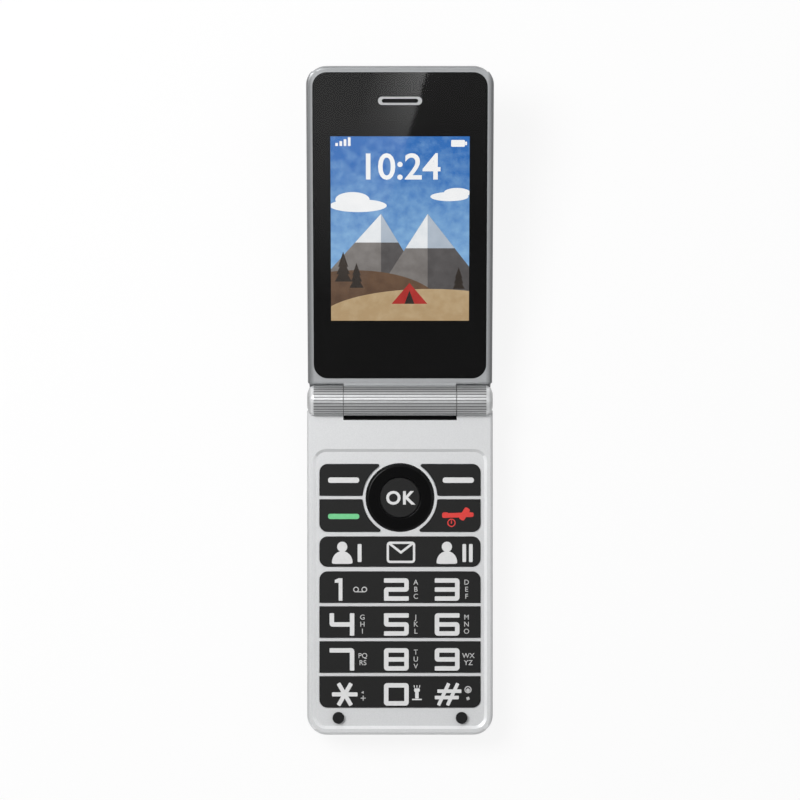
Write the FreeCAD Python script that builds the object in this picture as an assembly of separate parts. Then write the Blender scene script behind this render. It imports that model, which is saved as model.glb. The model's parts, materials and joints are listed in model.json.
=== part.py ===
import FreeCAD, Part
import math
import os

# A flip phone, open, lying on the back of its base. Millimetres, X to the right, Y towards the lid,
# Z up. The origin is the middle of the base's back, halfway from its free end to the hinge axis.

Vec = FreeCAD.Vector
ALONG_X = Vec(1, 0, 0)

# Overall sizes
BASE_WIDTH = 49.4
BASE_REACH = 89.0           # hinge axis to the base's free end
BASE_HEIGHT = 10.4
LID_INSET = 0.2             # lid's side in from the base's side
LID_REACH = 89.2            # hinge axis to the lid's free end
LID_START = 4.3             # hinge axis to the lid's near edge
LID_THICKNESS = 7.6
PARTING_GAP = 0.5           # between the base and the closed lid
OPEN_TILT = 12.0            # degrees that the open lid stops short of flat
FAR_CORNER = 5.3
NEAR_FLAT = 0.4             # flat that breaks the corners beside the hinge
FRONT_EDGE = 0.7            # round on the edges of the two inner faces
BACK_EDGE = 2.2             # round on the edges of the two outer faces
WALL = 1.3

# Hinge barrel
BARREL_RADIUS = 4.06
CORE_RADIUS = 3.3           # under the ribbed sleeves
SIDE_BARREL = 9.5           # length of each side barrel
BARREL_INSET = 0.1          # side barrel's end in from the base's side
BARREL_GAP = 0.15           # between side and centre barrels
END_CAP = 1.7               # plain end of a side barrel
END_DOME = 2.0              # radius lost over the domed end
DOME_STEPS = 2              # cones in the domed end
RIB_COUNT = 30
RIB_DEPTH = 0.14
TROUGH_GAP = 1.15           # between the centre barrel and the base
BASE_END_SET = 2.4          # base's hinge end, short of the hinge axis
WEB_DROP = 0.6              # top of the ear's web, below the hinge axis
SLEEVE_FIT = 0.03

# Hinge cartridge in the left half of the centre barrel
SHAFT_RADIUS = 1.2
SHAFT_FLAT = 0.35           # depth of the flat that keys the shaft in the ear
SHAFT_IN_EAR = 7.4
CAN_RADIUS = 2.55
CAN_WALL = 0.4
CAN_LENGTH = 13.0
CAN_INSET = 0.35            # can's open end in from the barrel's end
CAM_THICKNESS = 2.0
CAM_LOBE = 0.6
CAM_GAP = 0.05
FOLLOWER_THICKNESS = 1.8
RUNNING_FIT = 0.05
SPRING_WIRE = 0.5
SPRING_TURNS = 4
SPRING_STEPS = 8            # straight runs in each turn

# Hollow pivot in the right half, with the flex cable through it
BUSH_IN_EAR = 0.9
BUSH_IN_BARREL = 2.4
BUSH_BORE = 1.9
CAN_ROOM = 0.8              # between the can and the barrel's cable bore
FLEX_ROOM = 0.3             # between the bore's end and the cable
FLEX_DROP = 1.3             # cable below the hinge axis
FLEX_THICKNESS = 0.2
FLEX_WIDTH = 2.4
FLEX_RUN = 2.0              # width along the barrel
FLEX_TAIL = 4.4             # flat end on the board
FLEX_CLEAR = 0.25

# Base stack, from the back
COVER_FLOOR = 0.9
COVER_SIDE = 2.6
COVER_REACH = 24.5          # hinge axis to the cover's upper edge
COVER_CLEAR = 0.08
SPLIT_HEIGHT = 5.9          # rear housing's height
BATTERY_ROOF = 0.9          # rear housing above the battery
BOARD_THICKNESS = 0.8
BOARD_CLEAR = 0.5
CAVITY_END = 9.5            # front housing's hollow, short of the hinge axis
DOME_HEIGHT = 0.3
DOME_RADIUS = 1.9
DOME_CROWN = 1.0
DOME_SIDES = 6
DOME_FILM = 0.1
KEY_WEB = 0.85              # silicone sheet
FASCIA = 0.9                # plate with the key openings
RECESS_DEPTH = 0.5

# Keypad recess
RECESS_SIDE = 1.5           # silver border at the sides
RECESS_FOOT = 1.6           # silver border at the free end
RECESS_START = 12.9         # from the hinge axis
RECESS_CORNER = 3.5
RECESS_SLOPE = 0.8

# Keys. The four digit rows share the length that the others leave.
KEYS_SIDE = 1.85            # recess's side to the keys
KEYS_FOOT = 7.3             # free end to the last key
KEY_CORNER = 2.1
SOFT_START = 17.0           # hinge axis to the first key
SOFT_DEPTH = 8.3
CALL_DEPTH = 8.5
SHORTCUT_DEPTH = 7.9
KEY_GAP = 1.1               # silver web between keys
BLOCK_GAP = 1.4             # silver web round the shortcut bar
KEY_PROUD = 0.4             # above the recess floor
KEY_CLEAR = 0.12
KEY_TRAVEL = 0.4
LIP = 0.35                  # key's flange under the fascia
LIP_GAP = 0.1
LIP_THICKNESS = 0.5
TOUCH_GAP = 0.05
PLUNGER = 2.2               # side of the square foot that meets a dome
COLUMN_PITCH = 14.2
BAR_ROOM = 0.25             # bar's flange below the fascia
BAR_LIP = 0.4
ROCK_ROOM = 0.3             # between a rocking key and its pad
PAD_THICKNESS = 0.3
PAD_INSET = 0.7
PIVOT_RIB = 0.5
PIVOT_GAP = 0.02

# Navigation ring and OK key
NAV_RADIUS = 8.98
NAV_CLEAR = 0.2
NAV_ARC = 10.03             # hollow side of the four keys round the ring
TIP_ROUND = 0.35            # on the tips of those keys
ON_ARC = 0.01               # an edge this near the hollow side is a tip
NAV_PROUD = 0.7
NAV_BEVEL = 0.5
NAV_LIP = 0.65
NAV_LIP_THICKNESS = 0.35
NAV_ROOM = 0.5
NAV_PAD_HALF = 6.6
NAV_PAD_BORE = 6.4
NAV_DOME_RING = 5.6
NAV_DOME_RADIUS = 1.0
NAV_DOME_CROWN = 0.5
OK_RADIUS = 5.3
OK_PROUD = 0.55
OK_STEM = 3.6               # side of the square stem
OK_BASE = 0.5               # OK key's shoulder below the fascia

# Lid bumpers
BUMPER_FOOT = 4.55          # from the free end
BUMPER_SIDE = 8.3           # from the base's side
BUMPER_RADIUS = 1.55
BUMPER_GAP = 0.1            # to the closed lid's window

# Pieces in the base
BATTERY_SIDE = 6.9          # from the base's side
BATTERY_FOOT = 7.6          # from the free end
BATTERY_CLEAR = 0.15
BATTERY_FLAT = 0.8
POCKET_SIDE = 0.6           # room beside the battery
POCKET_REACH = 26.5         # hinge axis to the pocket's upper end
SIM_ROOM = 2.25             # between the battery and the SIM cage
CONTACT_WIDTH = 10.0
CONTACT_DEPTH = 2.6
CONTACT_HEIGHT = 3.4
CONTACT_SIDE = 8.8          # from the battery's right side
CONTACT_SLOT = 0.9
CONTACT_FINGERS = 3
SIM_WIDTH = 15.0
SIM_DEPTH = 8.5
SIM_HEIGHT = 1.5
SIM_SIDE = 9.3              # from the battery's left side
SIM_CARD = 0.85
SHEET = 0.3                 # sheet metal of the SIM cage and the USB shell
USB_WIDTH = 7.5
USB_DEPTH = 5.4
USB_HEIGHT = 2.6
USB_TONGUE = 3.6
USB_TONGUE_THICKNESS = 0.6
USB_CLEAR = 0.1
MIC_SIDE = 12.7             # from the base's left side
MIC_SIZE = 3.6
MIC_HEIGHT = 1.2
MIC_HOLE = 0.45
ANTENNA_SIDE = 10.2         # from the base's right side
ANTENNA_WIDTH = 12.0
ANTENNA_DEPTH = 4.2
ANTENNA_HEIGHT = 2.4
MODULE_REACH = 13.0         # hinge axis to the camera, torch and loudspeaker
CAMERA_SIDE = 11.7          # from the base's left side
CAMERA_SIZE = 8.0
CAMERA_GLASS = 4.2
CAMERA_GLASS_THICKNESS = 0.8
CAMERA_GLASS_SET = 0.15
CAMERA_EYE = 5.2            # side of the lens barrel's square foot
TORCH_SIDE = 6.6            # from the camera
TORCH_SIZE = 2.8
TORCH_SET = 0.2
SPEAKER_SIDE = 13.2         # from the base's right side
SPEAKER_WIDTH = 15.0
SPEAKER_DEPTH = 11.0
SPEAKER_HEIGHT = 3.2
SPEAKER_GRILLE = 1.2        # wall with the sound slots
SLOT_LENGTH = 9.0
SLOT_WIDTH = 0.9
SLOT_PITCH = 2.0
SLOT_COUNT = 5
MOTOR_SIDE = 20.7           # from the base's left side
MOTOR_REACH = 20.9          # from the hinge axis
MOTOR_WIDTH = 11.0
MOTOR_DEPTH = 4.4
MOTOR_HEIGHT = 2.7
POCKET_CLEAR = 0.1

# Lid stack, measured down from the lid's inner face
WINDOW_SET = 0.15           # window below the rim
WINDOW_THICKNESS = 1.0
GASKET_THICKNESS = 0.15
GASKET_WIDTH = 1.1
FRAME_DEPTH = 4.1
RIM_SIDE = 1.5              # silver rim beside the window
RIM_NEAR = 1.5              # silver rim at the hinge
RIM_FAR = 1.8               # silver rim at the free end
WINDOW_NEAR_CORNER = 3.2
WINDOW_FAR_CORNER = 2.8
WINDOW_CLEAR = 0.05
PANEL_SIDE = 3.5            # from the lid's side
PANEL_START = 16.4
PANEL_FAR = 15.2            # from the lid's free end
PANEL_THICKNESS = 1.2
PANEL_SINK = 0.2            # panel below the gasket's seat
PANEL_CLEAR = 0.15
LID_BOARD_START = 9.0
LID_BOARD_FAR = 3.2         # from the lid's free end
LID_BOARD_SIDE = 2.2        # from the lid's side
LID_BOARD_THICKNESS = 0.8
LID_BACK_WALL = 1.3
LID_LEDGE = 1.6
EAR_FAR = 9.35              # earpiece, from the lid's free end
EAR_WIDTH = 11.5
EAR_HEIGHT = 2.15
EAR_SLOT_WIDTH = 9.5
EAR_SLOT_HEIGHT = 1.1
EAR_PROUD = 0.1
MESH_SET = 0.5
MESH_THICKNESS = 0.2
CAPSULE_WIDTH = 12.0
CAPSULE_DEPTH = 6.6
CAPSULE_HEIGHT = 2.2
MAGNET_SIDE = 10.5          # from the lid's left side
MAGNET_FAR = 7.2            # from the lid's free end
MAGNET_LENGTH = 5.0
MAGNET_DEPTH = 2.6
MAGNET_HEIGHT = 1.5
BRIDGE_SET = 0.1            # bridge to the centre barrel, below the lid's face
COVE_START = 1.2            # hinge axis to the lip under each side barrel
COVE_DROP = 1.5             # top of that lip, below the hinge axis
COVE_GAP = 0.25             # between that lip and the side barrel

# Modelling values
OVERCUT = 1.0               # cutters run past the faces by this
LEAST_CORNER = 0.1          # radius left where an eased edge meets a tight corner
LEAST_FLAT = 0.001          # flat left between the two ends of a slot's round

# Places worked out from the sizes above
HINGE_Y = BASE_REACH / 2
HINGE_Z = BASE_HEIGHT + PARTING_GAP / 2
HINGE = Vec(0, HINGE_Y, HINGE_Z)
BASE_HALF = BASE_WIDTH / 2
BASE_LOW = HINGE_Y - BASE_REACH
BASE_HIGH = HINGE_Y - BASE_END_SET
EAR_OUTER = BASE_HALF - BARREL_INSET
EAR_INNER = EAR_OUTER - SIDE_BARREL
CAP_INNER = EAR_OUTER - END_CAP
CENTRE_HALF = EAR_INNER - BARREL_GAP
BOARD_TOP = SPLIT_HEIGHT + BOARD_THICKNESS
DOME_TOP = BOARD_TOP + DOME_HEIGHT
PLUNGER_END = DOME_TOP + KEY_TRAVEL + TOUCH_GAP
WEB_LOW = BOARD_TOP + DOME_FILM
WEB_TOP = WEB_LOW + KEY_WEB
RECESS_FLOOR = BASE_HEIGHT - RECESS_DEPTH
FASCIA_UNDER = RECESS_FLOOR - FASCIA
KEY_TOP = RECESS_FLOOR + KEY_PROUD
LIP_TOP = FASCIA_UNDER - LIP_GAP
LIP_LOW = LIP_TOP - LIP_THICKNESS
BAR_TOP = FASCIA_UNDER - BAR_ROOM
BAR_LOW = BAR_TOP - BAR_LIP
PAD_TOP = BAR_LOW - ROCK_ROOM
PAD_LOW = PAD_TOP - PAD_THICKNESS
NAV_LIP_TOP = FASCIA_UNDER - NAV_ROOM
NAV_LIP_LOW = NAV_LIP_TOP - NAV_LIP_THICKNESS
NAV_PAD_TOP = NAV_LIP_LOW - ROCK_ROOM
NAV_PAD_LOW = NAV_PAD_TOP - PAD_THICKNESS
NAV_Y = HINGE_Y - SOFT_START - SOFT_DEPTH - KEY_GAP / 2
RECESS_HALF = BASE_HALF - RECESS_SIDE
KEYS_HALF = RECESS_HALF - KEYS_SIDE
KEYS_LENGTH = BASE_REACH - SOFT_START - KEYS_FOOT
ROW_DEPTH = (KEYS_LENGTH - SOFT_DEPTH - CALL_DEPTH - SHORTCUT_DEPTH - 4 * KEY_GAP - 2 * BLOCK_GAP) / 4
BUMPER_X = BASE_HALF - BUMPER_SIDE
BUMPER_Y = BASE_LOW + BUMPER_FOOT
BATTERY_HALF = BASE_HALF - BATTERY_SIDE
COVER_END = HINGE_Y - COVER_REACH
POCKET_HALF = BATTERY_HALF + POCKET_SIDE
POCKET_HIGH = HINGE_Y - POCKET_REACH
SIM_HIGH = POCKET_HIGH - BATTERY_CLEAR
BATTERY_LOW = BASE_LOW + BATTERY_FOOT
BATTERY_HIGH = SIM_HIGH - SIM_DEPTH - SIM_ROOM
MODULE_Y = HINGE_Y - MODULE_REACH
MOTOR_Y = HINGE_Y - MOTOR_REACH
MOTOR_X = MOTOR_SIDE - BASE_HALF
CONTACT_X = BATTERY_HALF - CONTACT_SIDE
SIM_X = SIM_SIDE - BATTERY_HALF
MIC_X = MIC_SIDE - BASE_HALF
ANTENNA_X = BASE_HALF - ANTENNA_SIDE
CAMERA_X = CAMERA_SIDE - BASE_HALF
TORCH_X = CAMERA_X + TORCH_SIDE
SPEAKER_X = BASE_HALF - SPEAKER_SIDE
CAMERA_SEAT = CAMERA_GLASS_SET + CAMERA_GLASS_THICKNESS
LID_FACE = HINGE_Z - PARTING_GAP / 2
LID_BACK = LID_FACE - LID_THICKNESS
LID_HALF = BASE_HALF - LID_INSET
WINDOW_HALF = LID_HALF - RIM_SIDE
WINDOW_START = LID_START + RIM_NEAR
WINDOW_STOP = LID_REACH - RIM_FAR
PANEL_HALF = LID_HALF - PANEL_SIDE
PANEL_STOP = LID_REACH - PANEL_FAR
MAGNET_X = MAGNET_SIDE - LID_HALF
LID_BOARD_HALF = LID_HALF - LID_BOARD_SIDE
LID_BOARD_STOP = LID_REACH - LID_BOARD_FAR
EAR_REACH = LID_REACH - EAR_FAR
LID_SPLIT = LID_FACE - FRAME_DEPTH
WINDOW_TOP = LID_FACE - WINDOW_SET
WINDOW_LOW = WINDOW_TOP - WINDOW_THICKNESS
GASKET_LOW = WINDOW_LOW - GASKET_THICKNESS
PANEL_TOP = GASKET_LOW - PANEL_SINK
PANEL_LOW = PANEL_TOP - PANEL_THICKNESS
BUMPER_TOP = HINGE_Z + PARTING_GAP / 2 + WINDOW_SET - BUMPER_GAP
BATTERY_TOP = SPLIT_HEIGHT - BATTERY_ROOF
CAN_OUTER = -CENTRE_HALF + CAN_INSET
CAN_INNER = CAN_OUTER + CAN_LENGTH
CAN_BORE = CAN_RADIUS - CAN_WALL
CAM_FACE = CAN_OUTER + CAM_THICKNESS + CAM_LOBE
FOLLOWER_FACE = CAM_FACE + CAM_GAP + CAM_LOBE
SPRING_START = FOLLOWER_FACE + FOLLOWER_THICKNESS
FLEX_Z = HINGE_Z - FLEX_DROP
FLEX_BORE = CAN_INNER + CAN_ROOM
LID_FLEX_X = FLEX_BORE + FLEX_ROOM + FLEX_WIDTH / 2
FLEX_X0 = EAR_INNER + BUSH_IN_EAR + FLEX_CLEAR
FLEX_X1 = FLEX_X0 + FLEX_WIDTH
FLEX_MEET = CENTRE_HALF - BUSH_IN_BARREL - FLEX_CLEAR
FLEX_DUCT = FLEX_THICKNESS + 2 * FLEX_CLEAR


# Shapes that repeat

# Rectangle in the XY plane with a radius for each corner: left low, right low, right high, left high.
# A negative value breaks the corner by a flat instead of a round.
def outline(x0, x1, y0, y1, z, radii):
    chord = 1 - math.sqrt(0.5)
    corners = ((x0, y0, 1, 1), (x1, y0, -1, 1), (x1, y1, -1, -1), (x0, y1, 1, -1))
    starts, middles, ends = [], [], []
    for index, (x, y, sx, sy) in enumerate(corners):
        r = abs(radii[index])
        on_side = Vec(x, y + sy * r, z)
        on_end = Vec(x + sx * r, y, z)
        starts.append(on_side if index % 2 == 0 else on_end)
        middles.append(Vec(x + sx * r * chord, y + sy * r * chord, z))
        ends.append(on_end if index % 2 == 0 else on_side)
    edges = []
    for index in range(4):
        if radii[index] > 0:
            edges.append(Part.Arc(starts[index], middles[index], ends[index]).toShape())
        elif radii[index] < 0:
            edges.append(Part.LineSegment(starts[index], ends[index]).toShape())
        edges.append(Part.LineSegment(ends[index], starts[(index + 1) % 4]).toShape())
    return Part.Wire(edges)


def plate(x0, x1, y0, y1, z0, z1, radii=(0, 0, 0, 0)):
    face = Part.Face(outline(x0, x1, y0, y1, z0, radii))
    return face.extrude(Vec(0, 0, z1 - z0))


# Plate whose outline steps in by an inset at each level, as on an eased edge.
def stepped_plate(x0, x1, y0, y1, radii, levels):
    wires = []
    for inset, z in levels:
        inner = [math.copysign(max(abs(r) - inset, LEAST_CORNER), r) for r in radii]
        wires.append(outline(x0 + inset, x1 - inset, y0 + inset, y1 - inset, z, inner))
    return Part.makeLoft(wires, True, True)


# Levels of a plate with a quarter round of the given size, in two flats, at its top or at its bottom.
def top_round(z0, z1, size):
    cut = size * (1 - math.sqrt(0.5))
    return [(0, z0), (0, z1 - size), (cut, z1 - cut), (size, z1)]


def bottom_round(z0, z1, size):
    cut = size * (1 - math.sqrt(0.5))
    return [(size, z0), (cut, z0 + cut), (0, z0 + size), (0, z1)]


def stadium(x, y, width, depth, z0, z1):
    r = depth / 2 - LEAST_FLAT
    return plate(x - width / 2, x + width / 2, y - depth / 2, y + depth / 2, z0, z1, (r, r, r, r))


def square_post(x, y, side, z0, z1):
    return plate(x - side / 2, x + side / 2, y - side / 2, y + side / 2, z0, z1)


def post(x, y, radius, z0, z1):
    return Part.makeCylinder(radius, z1 - z0, Vec(x, y, z0))


def rod(x0, x1, radius):
    return Part.makeCylinder(radius, x1 - x0, Vec(x0, HINGE_Y, HINGE_Z), ALONG_X)


def spin(points, x, y):
    face = Part.Face(Part.makePolygon([Vec(r, 0, z) for r, z in points + points[:1]]))
    body = face.revolve(Vec(0, 0, 0), Vec(0, 0, 1), 360)
    body.translate(Vec(x, y, 0))
    return body


def mirrored(shape):
    return shape.mirror(Vec(0, 0, 0), ALONG_X)


# Flat ribbon of even thickness along points in the YZ plane, from x0 to x1.
def ribbon(points, x0, x1, thickness):
    half = thickness / 2
    upper, lower = [], []
    for index, (y, z) in enumerate(points):
        before = points[max(index - 1, 0)]
        after = points[min(index + 1, len(points) - 1)]
        run = math.hypot(after[0] - before[0], after[1] - before[1])
        ny, nz = -(after[1] - before[1]) / run, (after[0] - before[0]) / run
        upper.append(Vec(x0, y + ny * half, z + nz * half))
        lower.append(Vec(x0, y - ny * half, z - nz * half))
    loop = upper + lower[::-1]
    face = Part.Face(Part.makePolygon(loop + loop[:1]))
    return face.extrude(Vec(x1 - x0, 0, 0))


# The lid is drawn flat and then turned to where it stops open.
def opened(shape):
    turned = shape.copy()
    turned.rotate(HINGE, ALONG_X, OPEN_TILT)
    return turned


# Hinge barrel: the sleeve is a ribbed ring, open where the web that carries its core comes in.
def ribbed_sleeve(x0, x1):
    section = []
    for index in range(2 * RIB_COUNT):
        angle = index * math.pi / RIB_COUNT
        r = BARREL_RADIUS - RIB_DEPTH * (index % 2)
        section.append(Vec(x0, HINGE_Y + r * math.cos(angle), HINGE_Z + r * math.sin(angle)))
    ring = Part.Face(Part.makePolygon(section + section[:1])).extrude(Vec(x1 - x0, 0, 0))
    return ring.cut(rod(x0 - OVERCUT, x1 + OVERCUT, CORE_RADIUS))


# Web from a barrel core to its half of the phone: side -1 is the base, side 1 the lid.
def barrel_web(x0, x1, side, reach, grow=0.0):
    near, far = HINGE_Y - side * grow, HINGE_Y + side * reach
    low, high = HINGE_Z - BARREL_RADIUS - grow, HINGE_Z - WEB_DROP + grow
    return plate(x0, x1, min(near, far), max(near, far), low, high)


def side_sleeve():
    sleeve = ribbed_sleeve(EAR_INNER, CAP_INNER)
    return sleeve.cut(barrel_web(EAR_INNER - OVERCUT, CAP_INNER + OVERCUT, -1, 2 * BARREL_RADIUS, SLEEVE_FIT))


def centre_sleeve():
    sleeve = ribbed_sleeve(-CENTRE_HALF, CENTRE_HALF)
    x = CENTRE_HALF + OVERCUT
    return opened(sleeve.cut(barrel_web(-x, x, 1, 2 * BARREL_RADIUS, SLEEVE_FIT)))


# Key rows from the hinge down: each row's lower and upper edge
def key_rows():
    rows = {}
    top = SOFT_START
    for name, depth, gap in (("soft", SOFT_DEPTH, KEY_GAP), ("call", CALL_DEPTH, BLOCK_GAP),
                             ("shortcut", SHORTCUT_DEPTH, BLOCK_GAP), ("upper", ROW_DEPTH, KEY_GAP),
                             ("middle", ROW_DEPTH, KEY_GAP), ("lower", ROW_DEPTH, KEY_GAP),
                             ("star", ROW_DEPTH, KEY_GAP)):
        rows[name] = (HINGE_Y - top - depth, HINGE_Y - top)
        top += depth + gap
    return rows


# Each key's sides, row and round corners. The four side keys wrap the navigation ring.
ROWS = key_rows()
SQUARE = (0, 0, 0, 0)
SIDE_KEYS = {
    "softkey_left": (-KEYS_HALF, 0, "soft", (0, 0, 0, KEY_CORNER)),
    "softkey_right": (0, KEYS_HALF, "soft", (0, 0, KEY_CORNER, 0)),
    "call_key": (-KEYS_HALF, 0, "call", (KEY_CORNER, 0, 0, 0)),
    "end_key": (0, KEYS_HALF, "call", (0, KEY_CORNER, 0, 0)),
}
BARS = {
    "shortcut_row": ("shortcut", (KEY_CORNER, KEY_CORNER, KEY_CORNER, KEY_CORNER)),
    "row_123": ("upper", (0, 0, KEY_CORNER, KEY_CORNER)),
    "row_456": ("middle", SQUARE),
    "row_789": ("lower", SQUARE),
    "row_star_0_hash": ("star", (KEY_CORNER, KEY_CORNER, 0, 0)),
}


def key_block(x0, x1, row, radii, grow, z0, z1):
    y0, y1 = ROWS[row]
    grown = [r + grow if r else 0 for r in radii]
    return plate(x0 - grow, x1 + grow, y0 - grow, y1 + grow, z0, z1, grown)


def side_key_block(key, radii, grow, z0, z1, arc, tip=0):
    x0, x1, row, _ = SIDE_KEYS[key]
    block = key_block(x0, x1, row, radii, grow, z0, z1)
    block = block.cut(post(0, NAV_Y, arc, z0 - OVERCUT, z1 + OVERCUT))
    if not tip:
        return block
    uprights = [e for e in block.Edges if e.BoundBox.ZLength > (z1 - z0) / 2]
    tips = [e for e in uprights if abs(math.hypot(e.CenterOfMass.x, e.CenterOfMass.y - NAV_Y) - arc) < ON_ARC]
    return block.makeFillet(tip, tips)


def bar_block(bar, radii, grow, z0, z1):
    return key_block(-KEYS_HALF, KEYS_HALF, BARS[bar][0], radii, grow, z0, z1)


def side_key_spot(key):
    x = (KEYS_HALF + NAV_ARC) / 2
    y0, y1 = ROWS[SIDE_KEYS[key][2]]
    return (x if SIDE_KEYS[key][1] > 0 else -x), (y0 + y1) / 2


def bar_middle(bar):
    return sum(ROWS[BARS[bar][0]]) / 2


def dome_spots():
    spots = [(x, y, DOME_RADIUS, DOME_CROWN) for x, y in map(side_key_spot, SIDE_KEYS)]
    spots += [(c * COLUMN_PITCH, bar_middle(b), DOME_RADIUS, DOME_CROWN) for b in BARS for c in (-1, 0, 1)]
    spots.append((0, NAV_Y, DOME_RADIUS, DOME_CROWN))
    for dx, dy in ((1, 0), (0, 1), (-1, 0), (0, -1)):
        x, y = dx * NAV_DOME_RING, NAV_Y + dy * NAV_DOME_RING
        spots.append((x, y, NAV_DOME_RADIUS, NAV_DOME_CROWN))
    return spots


# Keys
def side_key(key):
    cap = side_key_block(key, SIDE_KEYS[key][3], 0, LIP_LOW, KEY_TOP, NAV_ARC, TIP_ROUND)
    lip = side_key_block(key, SQUARE, LIP, LIP_LOW, LIP_TOP, NAV_ARC)
    foot = square_post(*side_key_spot(key), PLUNGER, PLUNGER_END, LIP_LOW)
    return cap.fuse([lip, foot]).removeSplitter()


def key_bar(bar):
    cap = bar_block(bar, BARS[bar][1], 0, BAR_LOW, KEY_TOP)
    lip = bar_block(bar, SQUARE, LIP, BAR_LOW, BAR_TOP)
    y0, y1 = ROWS[BARS[bar][0]]
    rib = plate(-PIVOT_RIB, PIVOT_RIB, y0 + PAD_INSET, y1 - PAD_INSET, PAD_TOP + PIVOT_GAP, BAR_LOW)
    return cap.fuse([lip, rib]).removeSplitter()


def bar_pad(bar):
    y0, y1 = ROWS[BARS[bar][0]]
    half = KEYS_HALF - PAD_INSET
    strip = plate(-half, half, y0 + PAD_INSET, y1 - PAD_INSET, PAD_LOW, PAD_TOP)
    feet = [square_post(c * COLUMN_PITCH, bar_middle(bar), PLUNGER, PLUNGER_END, PAD_LOW) for c in (-1, 0, 1)]
    return strip.fuse(feet)


def nav_ring():
    bore = OK_RADIUS + NAV_CLEAR
    top = RECESS_FLOOR + NAV_PROUD
    rim = NAV_RADIUS + NAV_LIP
    return spin([(bore, NAV_LIP_LOW), (rim, NAV_LIP_LOW), (rim, NAV_LIP_TOP), (NAV_RADIUS, NAV_LIP_TOP),
                 (NAV_RADIUS, top - NAV_BEVEL), (NAV_RADIUS - NAV_BEVEL, top), (bore, top)], 0, NAV_Y)


def nav_ring_pad():
    pad = square_post(0, NAV_Y, 2 * NAV_PAD_HALF, NAV_PAD_LOW, NAV_PAD_TOP)
    return pad.cut(square_post(0, NAV_Y, NAV_PAD_BORE, NAV_PAD_LOW - OVERCUT, NAV_PAD_TOP + OVERCUT))


def ok_key():
    shoulder = FASCIA_UNDER - OK_BASE
    cap = post(0, NAV_Y, OK_RADIUS, shoulder, RECESS_FLOOR + OK_PROUD)
    return cap.fuse(square_post(0, NAV_Y, OK_STEM, PLUNGER_END, shoulder)).removeSplitter()


# Under the keys
def snap_dome(x, y, radius, crown):
    turns = [2 * math.pi * i / DOME_SIDES for i in range(DOME_SIDES + 1)]
    foot = [Vec(x + radius * math.cos(t), y + radius * math.sin(t), BOARD_TOP) for t in turns]
    head = [Vec(x + crown * math.cos(t), y + crown * math.sin(t), DOME_TOP) for t in turns]
    loops = [foot, head]
    loops += [[foot[i], foot[i + 1], head[i + 1], head[i], foot[i]] for i in range(DOME_SIDES)]
    return Part.Solid(Part.Shell([Part.Face(Part.makePolygon(loop)) for loop in loops]))


def key_field(z0, z1):
    half = KEYS_HALF + LIP
    return plate(-half, half, ROWS["star"][0] - LIP, ROWS["soft"][1] + LIP, z0, z1)


def keypad_dome_sheet():
    return key_field(BOARD_TOP, WEB_LOW).fuse([snap_dome(*spot) for spot in dome_spots()]).removeSplitter()


def keypad_rubber_web():
    low, high = WEB_LOW - OVERCUT, WEB_TOP + OVERCUT
    gap = PAD_INSET - LIP
    half = KEYS_HALF - gap
    window = 2 * (DOME_RADIUS + TOUCH_GAP)
    holes = [square_post(0, NAV_Y, 2 * NAV_ARC, low, high)]
    holes += [square_post(*side_key_spot(k), window, low, high) for k in SIDE_KEYS]
    for row, _ in BARS.values():
        y0, y1 = ROWS[row]
        holes.append(plate(-half, half, y0 + gap, y1 - gap, low, high))
    return key_field(WEB_LOW, WEB_TOP).cut(holes)


def lid_bumpers():
    return Part.makeCompound([post(x, BUMPER_Y, BUMPER_RADIUS, RECESS_FLOOR, BUMPER_TOP)
                              for x in (-BUMPER_X, BUMPER_X)])


# Hinge pieces. The shaft and its cam stay with the base; can, follower and spring turn with the lid.
def lobes(x0, x1, radius, bore, turn):
    ring = rod(x0, x1, radius).cut(rod(x0 - OVERCUT, x1 + OVERCUT, bore))
    gate = plate(x0 - OVERCUT, x1 + OVERCUT, HINGE_Y - SHAFT_RADIUS, HINGE_Y + SHAFT_RADIUS,
                 HINGE_Z - radius - OVERCUT, HINGE_Z + radius + OVERCUT)
    gate.rotate(HINGE, ALONG_X, turn)
    return ring.common(gate)


def hinge_cam_shaft():
    end = -EAR_INNER - SHAFT_IN_EAR
    shaft = rod(end, CAN_INNER - CAN_WALL, SHAFT_RADIUS)
    flat = plate(end - OVERCUT, -EAR_INNER, HINGE_Y - BARREL_RADIUS, HINGE_Y + BARREL_RADIUS,
                 HINGE_Z + SHAFT_RADIUS - SHAFT_FLAT, HINGE_Z + BARREL_RADIUS)
    rim = CAN_BORE - RUNNING_FIT
    disc = rod(CAN_OUTER, CAN_OUTER + CAM_THICKNESS, rim)
    cam = lobes(CAN_OUTER + CAM_THICKNESS, CAM_FACE, rim, SHAFT_RADIUS, 0)
    return shaft.cut(flat).fuse([disc, cam]).removeSplitter()


def hinge_can():
    body = rod(CAN_OUTER, CAN_INNER, CAN_RADIUS)
    return opened(body.cut(rod(CAN_OUTER - OVERCUT, CAN_INNER - CAN_WALL, CAN_BORE)))


def hinge_cam_follower():
    bore = SHAFT_RADIUS + RUNNING_FIT
    disc = rod(FOLLOWER_FACE, SPRING_START, CAN_BORE)
    disc = disc.cut(rod(FOLLOWER_FACE - OVERCUT, SPRING_START + OVERCUT, bore))
    tips = lobes(CAM_FACE + CAM_GAP, FOLLOWER_FACE, CAN_BORE, bore, 90)
    return opened(disc.fuse(tips).removeSplitter())


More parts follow.
